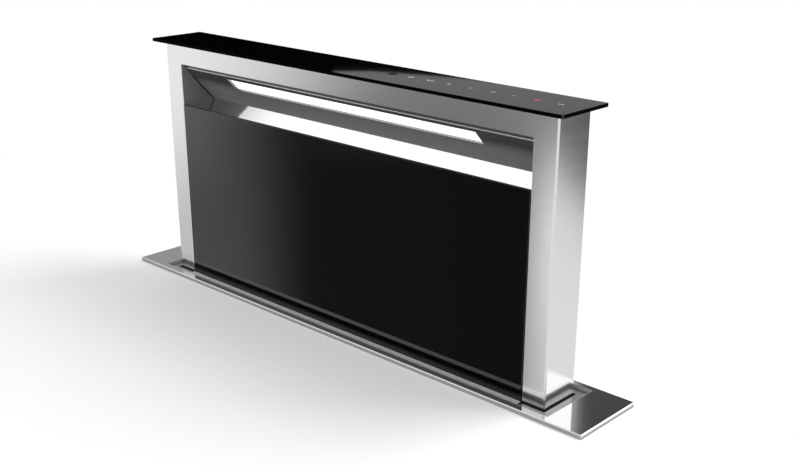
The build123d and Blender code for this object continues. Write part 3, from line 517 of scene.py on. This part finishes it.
def ink(mesh, middle, reach, hole=0, turn=0, ratio=1.0, steps=28):
    """Adds one fired mark, a dot, ring or dash, to a mesh; sizes in mm, on the glass."""
    turned_by = Matrix.Rotation(math.radians(turn), 2)
    rings = []
    for size in (reach, hole):
        ring = []
        for step in range(steps):
            angle = 2 * math.pi * step / steps
            spot = turned_by @ Vector((math.cos(angle) * size, math.sin(angle) * size * ratio))
            x, y = (middle[0] + spot.x) / 1000, (middle[1] + spot.y) / 1000
            ring.append(mesh.verts.new((x, y, glass_face)))
        rings.append(ring)
        if not hole:
            mesh.faces.new(ring)
            return
    for step in range(steps):
        after = (step + 1) % steps
        mesh.faces.new((rings[0][step], rings[0][after], rings[1][after], rings[1][step]))


marks = bmesh.new()
for mark in TOUCH_MARKS:
    ink(marks, *mark)
touch_marks = link("touch_marks", marks)
touch_marks.data.materials.append(moulded("ceramic_ink_grey", "#C9CCCE", 0.6, 0.45))

lit = bmesh.new()
for mark in LIT_MARKS:
    ink(lit, *mark)
lit_mark = link("lit_mark", lit)
red_ink = moulded("ceramic_ink_lit_red", "#C23A48", 0.6, 0.4)
glow_red = red_ink.node_tree.nodes["Principled BSDF"]
glow_red.inputs["Emission Color"].default_value = linear("#E06070")
glow_red.inputs["Emission Strength"].default_value = LIT_GLOW
lit_mark.data.materials.append(red_ink)

window = bmesh.new()
ink(window, WINDOW_MIDDLE, WINDOW_REACH)
display_window = link("display_window", window)
smoked = moulded("smoked_window_matt", "#030303", 0.5, 0.7, 0.005)
smoked.node_tree.nodes["Principled BSDF"].inputs["Specular IOR Level"].default_value = 0.1
display_window.data.materials.append(smoked)

# the ground edge of the slab is painted over with a dead black enamel, its two arrises as well
EDGE_PAINT = 0.00006
EDGE_ARRIS = 0.0005
EDGE_CORNER = 0.0015

slab_low, slab_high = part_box("top_glass")
low, high = slab_low.z - EDGE_PAINT, slab_high.z + INK_THICK
levels = ((low, EDGE_ARRIS), (low + EDGE_ARRIS, 0.0), (high - EDGE_ARRIS, 0.0), (high, EDGE_ARRIS))
band = bmesh.new()
rings = []
for height, inset in levels:
    x, y = slab_high.x + EDGE_PAINT - inset, slab_high.y + EDGE_PAINT - inset
    corner = EDGE_CORNER - inset
    outline = [(x, corner - y), (x, y - corner), (x - corner, y), (corner - x, y)]
    outline += [(-x, y - corner), (-x, corner - y), (corner - x, -y), (x - corner, -y)]
    rings.append([band.verts.new((*spot, height)) for spot in outline])
for below, above in zip(rings, rings[1:]):
    for index in range(8):
        after = (index + 1) % 8
        band.faces.new((below[index], below[after], above[after], above[index]))
edge_band = link("edge_band", band)
dead_black = moulded("edge_enamel_black", "#020202", 0.9, 0.55, 0.01)
dead_black.node_tree.nodes["Principled BSDF"].inputs["Specular IOR Level"].default_value = 0.01
edge_band.data.materials.append(dead_black)
for piece in (touch_marks, lit_mark, display_window, edge_band):
    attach(piece, "tower")


# --- Top tray and touch board ---
# A zinc-coated steel plate is bonded under the glass. The touch board, a glass-fibre laminate
# under a green solder mask, sits in its window.

# how wide the clouds on plated and cast metal are, in mm
PLATED_CLOUDS = 25


def plated_metal(name, tone, rough, grain_mm, depth_mm=0.01):
    """Zinc-plated, cast or drawn metal: dull, with soft clouds in its colour and gloss."""
    metal = bpy.data.materials.new(name)
    metal.use_nodes = True
    tree = metal.node_tree
    surface = tree.nodes["Principled BSDF"]
    place = add(tree, "ShaderNodeTexCoord").outputs["Object"]
    grain = {"Vector": place, "Scale": 1000 / grain_mm, "Detail": 3.0}
    grain = add(tree, "ShaderNodeTexNoise", grain).outputs["Fac"]
    cloud = {"Vector": place, "Scale": 1000 / PLATED_CLOUDS, "Detail": 3.0}
    cloud = add(tree, "ShaderNodeTexNoise", cloud).outputs["Fac"]
    matt = {0: cloud, 1: 0.3, 2: 0.7, 3: rough - 0.07, 4: rough + 0.07}
    matt = add(tree, "ShaderNodeMapRange", matt).outputs[0]
    dark = [share * 0.82 for share in linear(tone)[:3]] + [1.0]
    tint = {0: cloud, 6: dark, 7: linear(tone)}
    tint = add(tree, "ShaderNodeMix", tint, data_type="RGBA").outputs[2]
    bump = {"Height": grain, "Strength": 0.5, "Distance": depth_mm / 1000}
    bump = add(tree, "ShaderNodeBump", bump).outputs[0]
    for socket, value in (("Base Color", tint), ("Roughness", matt), ("Normal", bump)):
        tree.links.new(value, surface.inputs[socket])
    surface.inputs["Metallic"].default_value = 1.0
    return metal


# a sine runs through this many radians across a cell, and its crests are tracks, raised in mm
TRACK_TURNS = 9.0
TRACK_RAISED = 0.04


def circuit_board(name, mask, copper, track_mm):
    """Solder mask over copper tracks, which show through as paler lines."""
    board = bpy.data.materials.new(name)
    board.use_nodes = True
    tree = board.node_tree
    surface = tree.nodes["Principled BSDF"]
    place = add(tree, "ShaderNodeTexCoord").outputs["Object"]
    cells = {"Vector": place, "Scale": 1000 / track_mm, "Randomness": 0.35}
    cells = add(tree, "ShaderNodeTexVoronoi", cells, feature="F1", distance="MANHATTAN")
    tracks = {0: cells.outputs["Distance"], 1: TRACK_TURNS}
    tracks = add(tree, "ShaderNodeMath", tracks, operation="MULTIPLY").outputs[0]
    tracks = add(tree, "ShaderNodeMath", {0: tracks}, operation="SINE").outputs[0]
    tracks = add(tree, "ShaderNodeMapRange", {0: tracks, 1: 0.2, 2: 0.4}).outputs[0]
    tint = {0: tracks, 6: linear(mask), 7: linear(copper)}
    tint = add(tree, "ShaderNodeMix", tint, data_type="RGBA").outputs[2]
    bump = {"Height": tracks, "Strength": 0.6, "Distance": TRACK_RAISED / 1000}
    bump = add(tree, "ShaderNodeBump", bump).outputs[0]
    tree.links.new(tint, surface.inputs["Base Color"])
    tree.links.new(bump, surface.inputs["Normal"])
    surface.inputs["Roughness"].default_value = 0.35
    return board


zinc_coated = plated_metal("zinc_coated_sheet", "#BFC1C3", 0.42, 1.2)
green_board = circuit_board("solder_mask_green", "#1B6A3F", "#3C8F60", 6.0)
dress(zinc_coated, "top_tray")
dress(green_board, "touch_board")


# --- Intake ceiling ---
# A steel sheet slopes back from under the top bar, sprayed with a satin grey enamel. Its colour
# carries painted shade, dark round the lamp where the bar shades it, and painted light, pale at the
# back by the bright baffle. Its front edge, rolled over a wire, is left bare.

# the bare edge lies before this depth and under this height, in metres
EDGE_BEFORE = -0.0225
EDGE_UNDER = 0.3319
# how far back each step of the painted shade and painted light reaches, in metres
PAINTED_SHADE_UNTIL = -0.0100
PAINTED_HALF_SHADE_FROM = -0.0010
PAINTED_LIGHT_FROM = 0.0260

enamel = moulded("enamel_satin_grey_painted_shade", "#FFFFFF", 0.3, 0.22, 0.001, 0.03)
tree = enamel.node_tree
place = add(tree, "ShaderNodeTexCoord").outputs["Object"]
place = add(tree, "ShaderNodeSeparateXYZ", {0: place}).outputs
before = {0: place["Y"], 1: EDGE_BEFORE}
before = add(tree, "ShaderNodeMath", before, operation="LESS_THAN").outputs[0]
under = {0: place["Z"], 1: EDGE_UNDER}
under = add(tree, "ShaderNodeMath", under, operation="LESS_THAN").outputs[0]
bare = add(tree, "ShaderNodeMath", {0: before, 1: under}, operation="MULTIPLY").outputs[0]
# painted shade and light: the enamel's colour runs from dark under the bar to pale by the baffle
grey = add(tree, "ShaderNodeMapRange", {0: place["Y"], 1: PAINTED_SHADE_UNTIL, 2: PAINTED_HALF_SHADE_FROM}).outputs[0]
pale = add(tree, "ShaderNodeMapRange", {0: place["Y"], 1: PAINTED_HALF_SHADE_FROM, 2: PAINTED_LIGHT_FROM}).outputs[0]
tone = {0: grey, 6: linear("#464647"), 7: linear("#848485")}
tone = add(tree, "ShaderNodeMix", tone, data_type="RGBA").outputs[2]
tone = {0: pale, 6: tone, 7: linear("#D6D6D6")}
tone = add(tree, "ShaderNodeMix", tone, data_type="RGBA").outputs[2]
surface = tree.nodes["Principled BSDF"]
tint = {0: 1.0, 6: surface.inputs["Base Color"].links[0].from_socket, 7: tone}
tint = add(tree, "ShaderNodeMix", tint, data_type="RGBA", blend_type="MULTIPLY").outputs[2]
tint = {0: bare, 6: tint, 7: linear("#DADADA")}
tint = add(tree, "ShaderNodeMix", tint, data_type="RGBA").outputs[2]
tree.links.new(tint, surface.inputs["Base Color"])
tree.links.new(bare, surface.inputs["Metallic"])
dress(enamel, "canopy_plate")


# --- Throat baffle and seams ---
# The sheet below the ceiling is stainless steel, polished bright. Both meet the leg walls in a thin
# fillet of black silicone, drawn down by hand.

BAFFLE_LINES = (140, 1.0, 1.0)
BAFFLE_ACROSS = (0.03, 0.7, 0.7)
SEAM_WALL = 332.5
SEAM_PATH = ((-9.9, 316.3), (28.6, 276.1), (10.8, 242.2))
# which way the fillet faces at each point of its path, in y and z
SEAM_FACING = ((-0.72, -0.69), (-1.22, -0.17), (-0.88, 0.47))
# a section through the fillet: how far in from the wall, and out from the sheet
SEAM_SECTION = ((-0.02, 1.3), (0.7, 0.45), (1.5, 0.02), (-0.02, -0.3))

polished_steel = brushed_metal(
    "stainless_polished", BAFFLE_LINES, BAFFLE_ACROSS, "#E2E2E2", 0.075, 0.2
)
dress(polished_steel, "throat_baffle")
fillets = bmesh.new()
for side in (-1, 1):
    ends = []
    for (y, z), (out_y, out_z) in zip(SEAM_PATH, SEAM_FACING):
        section = []
        for inward, out in SEAM_SECTION:
            spot = (side * (SEAM_WALL - inward), y + out_y * out, z + out_z * out)
            section.append(fillets.verts.new([size / 1000 for size in spot]))
        ends.append(section)
    for here, there in zip(ends, ends[1:]):
        for index in range(4):
            after = (index + 1) % 4
            fillets.faces.new((here[index], here[after], there[after], there[index]))
    fillets.faces.new(ends[0])
    fillets.faces.new(ends[-1])
bmesh.ops.recalc_face_normals(fillets, faces=fillets.faces)
seam_fillets = link("seam_fillets", fillets)
seam_fillets.data.materials.append(moulded("silicone_black", "#1B1B1C", 2.5, 0.4, 0.02))
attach(seam_fillets, "tower")


# --- Lamp ---
# An extruded aluminium channel behind the ceiling holds a white-coated strip board. Its light
# comes out through a lens of opal acrylic, set a little back from the steel.

LAMP_LINES = (60, 0.6, 0.6)
LAMP_ACROSS = (0.03, 0.7, 0.7)
LAMP_LEVEL = 1.08

satin_aluminium = brushed_metal("aluminium_extruded", LAMP_LINES, LAMP_ACROSS, "#8F9091", 0.34)
dress(satin_aluminium, "lamp_housing")
dress(circuit_board("solder_mask_white", "#DEDEDA", "#C9C9C4", 6.0), "lamp_board")
opal = moulded("acrylic_opal", "#F2F2F0", 0.7, 0.35, 0.01, 0.02)
shine = opal.node_tree.nodes["Principled BSDF"]
shine.inputs["Emission Color"].default_value = (1, 1, 1, 1)
shine.inputs["Emission Strength"].default_value = LAMP_LEVEL
dress(opal, "lamp_lens")


# --- Front panel's tray and catches ---
# A shallow pan of zinc-coated steel is bonded behind the front glass. Black nylon catches in the
# legs grip it, so that the panel pulls off for the filters.

black_nylon = moulded("nylon_black", "#1C1C1D", 0.7, 0.5)
dress(zinc_coated, "panel_tray")
dress(black_nylon, "panel_catches")


# --- Grease filters, post, drip tray and base frame ---
# Two filters stand behind the panel: folded aluminium rims round a pack of expanded aluminium.
# A steel post parts them, a tray at their foot catches what runs down, and a steel frame under it
# joins the legs.

FOLDED_LINES = (50, 50, 0.7)
FOLDED_ACROSS = (0.03, 0.03, 1)

folded_aluminium = brushed_metal("aluminium_folded", FOLDED_LINES, FOLDED_ACROSS, "#C6C8C9", 0.32)
expanded_aluminium = plated_metal("aluminium_expanded", "#B9BBBC", 0.38, 0.9, 0.05)
dress(folded_aluminium, "filter_frame_left", "filter_frame_right")
dress(expanded_aluminium, "filter_mesh_left", "filter_mesh_right")
dress(zinc_coated, "centre_post", "drip_tray", "base_frame")


# --- Carriages and rollers ---
# A zinc-plated steel foot under each leg holds two rollers, turned from acetal, which run in a
# cold-drawn channel on the side wall of the case.

DRAWN_LINES = (0.6, 0.6, 120)
DRAWN_ACROSS = (1, 0.7, 0.03)

plated_steel = plated_metal("steel_zinc_plated", "#A9ACAF", 0.40, 0.8)
dress(plated_steel, "carriage_left", "carriage_right")
dress(acetal, "roller_left_lower", "roller_left_upper", "roller_right_lower", "roller_right_upper")
drawn_steel = brushed_metal("steel_cold_drawn", DRAWN_LINES, DRAWN_ACROSS, "#B4B6B8", 0.33)
dress(drawn_steel, "guide_rail_left", "guide_rail_right")


# --- Lift screws and nuts ---
# Two rolled steel screws of 12 mm with a trapezoidal thread, two starts and 10 mm of lift a turn.
# They are oiled, and run in flanged bronze nuts under the carriages.

SCREW_X = 350.0
SCREW_BODY = (
    (0, -590),
    (4.6, -590),
    (5, -589.6),
    (5, -538),
    (8, -538),
    (8, -534),
    (4.65, -534),
    (4.65, -101.5),
    (3.4, -100),
    (0, -100),
)
THREAD_SPAN = (-534.0, -101.5)
THREAD_LEAD = 10.0
THREAD_STARTS = 2
# one pitch of the flank, as shares of the pitch and radii: root, rise, crest, fall
THREAD_FLANK = ((0.0, 4.6), (0.34, 4.6), (0.48, 5.95), (0.86, 5.95))
THREAD_STEPS = 20
ROLLED_LINES = (30, 30, 0.5)
ROLLED_ACROSS = (0.03, 0.03, 1)


def turned(mesh, profile, place, steps=24):
    """Adds a turned form to a mesh: a profile of (radius, height) in mm about a place's Z axis."""
    rings = []
    for radius, height in profile:
        count = steps if radius else 1
        ring = []
        for step in range(count):
            angle = 2 * math.pi * step / steps
            x, y = math.cos(angle) * radius / 1000, math.sin(angle) * radius / 1000
            ring.append(mesh.verts.new(place @ Vector((x, y, height / 1000))))
        rings.append(ring)
    for low, high in zip(rings, rings[1:]):
        for step in range(steps):
            after = (step + 1) % steps
            # where the form closes in one point, two of the four corners are the same
            corners = ((low, step), (low, after), (high, after), (high, step))
            corners = list(dict.fromkeys(ring[spot % len(ring)] for ring, spot in corners))
            if len(corners) > 2:
                mesh.faces.new(corners)


def smooth(thing, angle=35):
    """Smooth shading with its sharp edges kept."""
    for face in thing.data.polygons:
        face.use_smooth = True
    thing.data.set_sharp_from_angle(angle=math.radians(angle))


rolled_steel = brushed_metal("steel_rolled_oiled", ROLLED_LINES, ROLLED_ACROSS, "#A6A7A6", 0.24)
for side, x in (("left", -SCREW_X), ("right", SCREW_X)):
    screw = bmesh.new()
    turned(screw, SCREW_BODY, Matrix.Translation((x / 1000, 0, 0)))
    pitch = THREAD_LEAD / THREAD_STARTS
    rows = int((THREAD_SPAN[1] - THREAD_SPAN[0]) / pitch) + 2 * THREAD_STARTS
    columns = []
    for step in range(THREAD_STEPS):
        angle = 2 * math.pi * step / THREAD_STEPS
        column = []
        for row in range(-THREAD_STARTS, rows):
            for share, radius in THREAD_FLANK:
                height = THREAD_SPAN[0] + pitch * (row + share) + THREAD_LEAD * step / THREAD_STEPS
                height = min(max(height, THREAD_SPAN[0]), THREAD_SPAN[1])
                spot = (x + radius * math.cos(angle), radius * math.sin(angle), height)
                column.append(screw.verts.new([size / 1000 for size in spot]))
        columns.append(column)
    for step in range(THREAD_STEPS):
        here = columns[step]
        there = columns[(step + 1) % THREAD_STEPS]
        # after a whole turn the thread has climbed by its lead
        climb = THREAD_STARTS * len(THREAD_FLANK) if step == THREAD_STEPS - 1 else 0
        for index in range(len(here) - climb - 1):
            above = index + climb
            screw.faces.new((here[above], there[index], there[index + 1], here[above + 1]))
    bmesh.ops.remove_doubles(screw, verts=screw.verts, dist=1e-6)
    bmesh.ops.recalc_face_normals(screw, faces=screw.faces)
    lift_screw = link(f"lift_screw_{side}", screw)
    smooth(lift_screw, 25)
    lift_screw.data.materials.append(rolled_steel)
    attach(lift_screw, f"screw_{side}")
    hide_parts(f"lead_screw_{side}")
dress(plated_metal("bronze_machined", "#B08B4C", 0.32, 0.6), "screw_nuts")


# --- Pulleys, belt, bearing, gear motor and sensors ---
# Turned aluminium pulleys with a toothed rubber belt join the two screws. A worm gear motor, in
# black baked paint, drives the right one, and a nylon block holds the foot of the left one. Black
# nylon sensors tell the ends of the lift.

TURNED_LINES = (40, 40, 0.6)
TURNED_ACROSS = (0.03, 0.03, 1)
# the belt's teeth, in mm
BELT_PITCH = 5
TOOTH_HEIGHT = 0.8

turned_aluminium = brushed_metal("aluminium_turned", TURNED_LINES, TURNED_ACROSS, "#C4C6C8", 0.26)
dress(turned_aluminium, "pulley_left", "pulley_right")
belt_rubber = moulded("belt_rubber", "#1A1A1A", 0.5, 0.6)
tree = belt_rubber.node_tree
place = add(tree, "ShaderNodeTexCoord").outputs["Object"]
# each tooth is one wave; the wave node runs through 20 radians a unit
teeth = {"Vector": place, "Scale": 2 * math.pi / 20 * 1000 / BELT_PITCH}
teeth = add(tree, "ShaderNodeTexWave", teeth, bands_direction="X", wave_profile="TRI")
grit = tree.nodes["Principled BSDF"].inputs["Normal"].links[0].from_socket
ribs = {"Height": teeth.outputs["Fac"], "Strength": 0.7, "Normal": grit}
ribs["Distance"] = TOOTH_HEIGHT / 1000
ribs = add(tree, "ShaderNodeBump", ribs).outputs[0]
tree.links.new(ribs, tree.nodes["Principled BSDF"].inputs["Normal"])
dress(belt_rubber, "sync_belt")
dress(moulded("nylon_glass_filled", "#3A3A3C", 0.5, 0.55), "screw_bearing")
baked_paint = moulded("baked_paint_black", "#222224", 0.9, 0.38, 0.03)
dress(baked_paint, "lift_gearmotor")
dress(black_nylon, "travel_sensors")


# --- Case ---
# Walls of hot-dip galvanised sheet, folded at the sides and open at the top under the flange. The
# zinc shows its spangle, crystals some 12 mm wide, each with its own grey.

# in mm: how fine the crystals' ragged edges are, how far they wander, how much the faces differ in
# height, and how wide the clouds are that cross them
SPANGLE_RAGGED = 5
SPANGLE_WANDER = 4
SPANGLE_DEPTH = 0.2
ZINC_CLOUDS = 90


def galvanised_sheet(name, spangle_mm):
    """Galvanised sheet: flat zinc crystals that differ in brightness and gloss."""
    zinc = bpy.data.materials.new(name)
    zinc.use_nodes = True
    tree = zinc.node_tree
    surface = tree.nodes["Principled BSDF"]
    place = add(tree, "ShaderNodeTexCoord").outputs["Object"]
    ragged = {"Vector": place, "Scale": 1000 / SPANGLE_RAGGED, "Detail": 3.0}
    ragged = add(tree, "ShaderNodeTexNoise", ragged).outputs["Color"]
    bent = {0: ragged, 1: [SPANGLE_WANDER / 1000] * 3, 2: place}
    bent = add(tree, "ShaderNodeVectorMath", bent, operation="MULTIPLY_ADD").outputs[0]
    crystals = {"Vector": bent, "Scale": 1000 / spangle_mm}
    crystals = add(tree, "ShaderNodeTexVoronoi", crystals, feature="F1").outputs["Color"]
    crystals = add(tree, "ShaderNodeSeparateColor", {0: crystals}).outputs
    cloud = {"Vector": place, "Scale": 1000 / ZINC_CLOUDS, "Detail": 4.0}
    cloud = add(tree, "ShaderNodeTexNoise", cloud).outputs["Fac"]
    share = add(tree, "ShaderNodeMix", {0: 0.35, 2: crystals[0], 3: cloud}).outputs[0]
    tint = {0: share, 6: linear("#A3A6A8"), 7: linear("#C3C6C8")}
    tint = add(tree, "ShaderNodeMix", tint, data_type="RGBA").outputs[2]
    matt = add(tree, "ShaderNodeMapRange", {0: crystals[1], 3: 0.36, 4: 0.52}).outputs[0]
    bump = {"Height": crystals[2], "Strength": 0.12, "Distance": SPANGLE_DEPTH / 1000}
    bump = add(tree, "ShaderNodeBump", bump).outputs[0]
    for socket, value in (("Base Color", tint), ("Roughness", matt), ("Normal", bump)):
        tree.links.new(value, surface.inputs[socket])
    surface.inputs["Metallic"].default_value = 1.0
    return zinc


galvanised = galvanised_sheet("steel_galvanised", 12)
dress(galvanised, "case_front", "case_rear", "case_side_left", "case_side_right", "case_base")


# --- Case screws ---
# Pan-head screws of 4 mm, zinc-plated, with a cross recess. Ten on each side hold the folded
# walls to the side walls.

CASE_OUTSIDE = 393.2
SIDE_WALL = 390.8
SCREW_ROW = 40.5
SCREW_HEIGHTS = (-30, -165, -300, -435, -570)
# the head's radius and height, and the shank's radius
PAN_HEAD = (3.8, 2.2)
PAN_SHANK = 2.0
# the cross recess of that head: its arms' reach and half width
RECESS_ARM = (1.9, 0.42)
# how many points the head's rim and the recess's outline have
HEAD_POINTS = 24
RECESS_POINTS = 12


def cross_head(mesh, place, radius, tall, shank=(0.0, 0.0)):
    """Adds a pan-head screw with a cross recess; its seat is at the place, its head along Z."""
    size = radius / PAN_HEAD[0]
    dome = [(radius, 0), (radius, 0.45 * tall), (0.87 * radius, 0.8 * tall), (0.66 * radius, tall)]
    if shank[1]:
        dome = [(0, -shank[1]), (shank[0], -shank[1]), (shank[0], 0)] + dome
    else:
        dome = [(0, 0)] + dome
    turned(mesh, dome, place, HEAD_POINTS)
    mesh.verts.ensure_lookup_table()
    rim = mesh.verts[-HEAD_POINTS:]
    arm, half = (reach * size for reach in RECESS_ARM)
    quarter = ((arm, -half), (arm, half), (half, half))
    rounds = []
    for height, shrink in ((tall, 1.0), (0.35 * tall, 0.62)):
        spots = []
        for quarters in range(4):
            turned_by = Matrix.Rotation(math.pi / 2 * quarters, 2)
            spots += [turned_by @ Vector(spot) * shrink for spot in quarter]
        spots = [(spot.x / 1000, spot.y / 1000, height / 1000) for spot in spots]
        rounds.append([mesh.verts.new(place @ Vector(spot)) for spot in spots])
    edge, floor = rounds
    for index in range(RECESS_POINTS):
        after = (index + 1) % RECESS_POINTS
        mesh.faces.new((edge[index], edge[after], floor[after], floor[index]))
    mesh.faces.new(floor)
    # the flat crown lies between the rim and the recess, and the rim has two points to its one
    for index in range(RECESS_POINTS):
        after = (index + 1) % RECESS_POINTS
        first, second, third = (rim[(2 * index - 1 + step) % HEAD_POINTS] for step in (0, 1, 2))
        mesh.faces.new((edge[index], first, second))
        mesh.faces.new((edge[index], second, third, edge[after]))


def facing(spot, way):
    """A place at a point in mm whose Z axis looks the given way."""
    turn_to = Vector(way).to_track_quat("Z", "Y").to_matrix().to_4x4()
    return Matrix.Translation([size / 1000 for size in spot]) @ turn_to


pan_heads = bmesh.new()
for side in (-1, 1):
    for y in (-SCREW_ROW, SCREW_ROW):
        for z in SCREW_HEIGHTS:
            seat = facing((side * CASE_OUTSIDE, y, z), (side, 0, 0))
            cross_head(pan_heads, seat, *PAN_HEAD, (PAN_SHANK, CASE_OUTSIDE - SIDE_WALL))
bmesh.ops.recalc_face_normals(pan_heads, faces=pan_heads.faces)
case_pan_heads = link("case_pan_heads", pan_heads)
smooth(case_pan_heads)
bright_zinc = plated_metal("zinc_bright_plated", "#C9CBCD", 0.28, 0.7)
case_pan_heads.data.materials.append(bright_zinc)
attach(case_pan_heads, "chassis")
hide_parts("case_screws")


# --- Worktop clamps and floor brackets ---
# Hooked clamps pull the flange down on the worktop, and angle feet stand on the cabinet's floor.
# Both are bent from zinc-plated steel and held by hexagon-headed bolts.


CLAMP_X = 295
BRACKET_Y = 18
# how far out a bolt's seat lies and at what height, then its head's width across flats and height
CLAMP_SEAT, CLAMP_HEAD = (50.5, -75), (8.4, 3.7)
BRACKET_SEAT, BRACKET_HEAD = (396.2, -560), (10.4, 4.2)
# the pressed washer: its radius as a share of the head's width, its foot's and its top's height
WASHER_WIDE, WASHER_FOOT, WASHER_TOP = 0.68, 0.02, 0.7
# the head's chamfer: how far in and how far down
CHAMFER = (0.7, 0.6)


def hex_head(mesh, place, flats, tall):
    """Adds a bolt's hexagon head, chamfered at the top, with a pressed washer under it."""
    reach = flats * WASHER_WIDE
    washer = [(0, WASHER_FOOT), (reach, WASHER_FOOT), (reach, WASHER_TOP), (0, WASHER_TOP)]
    turned(mesh, washer, place)
    corner = flats / math.sqrt(3)
    head = [(0, WASHER_TOP), (corner, WASHER_TOP), (corner, tall - CHAMFER[1])]
    head += [(corner - CHAMFER[0], tall), (0, tall)]
    turned(mesh, head, place, 6)


dress(plated_steel, "worktop_clamps", "floor_brackets")
bolts = bmesh.new()
for side in (-1, 1):
    for x in (-CLAMP_X, CLAMP_X):
        seat = facing((x, side * CLAMP_SEAT[0], CLAMP_SEAT[1]), (0, side, 0))
        hex_head(bolts, seat, *CLAMP_HEAD)
    for y in (-BRACKET_Y, BRACKET_Y):
        seat = facing((side * BRACKET_SEAT[0], y, BRACKET_SEAT[1]), (side, 0, 0))
        hex_head(bolts, seat, *BRACKET_HEAD)
bmesh.ops.recalc_face_normals(bolts, faces=bolts.faces)
hexagon_bolts = link("hexagon_bolts", bolts)
hexagon_bolts.data.materials.append(bright_zinc)
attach(hexagon_bolts, "chassis")


# --- Blower ---
# A galvanised box behind the case holds the fan: a dark polypropylene scroll and wheel, and a
# painted motor. Blind rivets join its folded edges to the case's rear wall.

RIVET_GAP = 48.0
RIVET_STEPS = 16
RIVET_DOME = ((0, 0), (2.6, 0), (2.5, 0.35), (1.9, 0.8), (0.8, 1.05), (0, 1.1))
BOX_X = (-330.0, 70.0)
BOX_Z = (-596.0, -250.0)
RIVET_Y = 56.0

dress(galvanised, "blower_box", "inlet_ring")
dress(moulded("polypropylene_dark_grey", "#3B3B3D", 1.4, 0.5), "fan_scroll")
dress(moulded("polypropylene_glass_filled", "#525558", 0.7, 0.48), "impeller")
dress(baked_paint, "fan_motor")
rivets = bmesh.new()
across = int((BOX_X[1] - BOX_X[0]) / RIVET_GAP)
up = int((BOX_Z[1] - BOX_Z[0]) / RIVET_GAP)
for index in range(across):
    x = BOX_X[0] + (BOX_X[1] - BOX_X[0]) * (index + 0.5) / across
    turned(rivets, RIVET_DOME, facing((x, RIVET_Y, BOX_Z[1]), (0, 0, 1)), RIVET_STEPS)
for index in range(up):
    z = BOX_Z[0] + (BOX_Z[1] - BOX_Z[0]) * (index + 0.5) / up
    turned(rivets, RIVET_DOME, facing((BOX_X[0], RIVET_Y, z), (-1, 0, 0)), RIVET_STEPS)
bmesh.ops.recalc_face_normals(rivets, faces=rivets.faces)
blind_rivets = link("blind_rivets", rivets)
smooth(blind_rivets)
blind_rivets.data.materials.append(satin_aluminium)
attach(blind_rivets, "chassis")


# --- Outlet collar and flaps ---
# A black polypropylene spigot for the duct, screwed to the side of the blower box. Two pale
# flaps hang in its mouth and fall shut when the fan stops.

COLLAR_FACE = 72.0
COLLAR_MIDDLE = (135.0, -335.0)
COLLAR_SCREW = 74.0
COLLAR_HEAD = (3.6, 2.1)

dress(moulded("polypropylene_black", "#1D1D1E", 1.2, 0.46, 0.03), "outlet_collar")
dress(moulded("polypropylene_pale_grey", "#C8C8C4", 1.0, 0.5), "flap_front", "flap_rear")
heads = bmesh.new()
for y in (-COLLAR_SCREW, COLLAR_SCREW):
    for z in (-COLLAR_SCREW, COLLAR_SCREW):
        seat = facing((COLLAR_FACE, COLLAR_MIDDLE[0] + y, COLLAR_MIDDLE[1] + z), (1, 0, 0))
        cross_head(heads, seat, *COLLAR_HEAD)
bmesh.ops.recalc_face_normals(heads, faces=heads.faces)
collar_screws = link("collar_screws", heads)
smooth(collar_screws)
collar_screws.data.materials.append(bright_zinc)
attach(collar_screws, "chassis")


# --- Control box ---
# A light grey moulded box on the front wall holds the drive board. Four screws in deep pockets
# close its cover, and a black nylon gland takes the mains cable.

COVER_POCKETS = ((128, 312), (-422, -308))
POCKET_FLOOR = -94.5
COVER_HEAD = (2.9, 1.3)

grey_plastic = moulded("abs_light_grey", "#B9BCBF", 1.1, 0.5, 0.04)
dress(grey_plastic, "control_box", "control_cover")
dress(green_board, "control_board")
dress(black_nylon, "cable_gland")
heads = bmesh.new()
for x in COVER_POCKETS[0]:
    for z in COVER_POCKETS[1]:
        cross_head(heads, facing((x, POCKET_FLOOR, z), (0, -1, 0)), *COVER_HEAD)
bmesh.ops.recalc_face_normals(heads, faces=heads.faces)
cover_screws = link("cover_screws", heads)
smooth(cover_screws)
cover_screws.data.materials.append(bright_zinc)
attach(cover_screws, "chassis")

low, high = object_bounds()
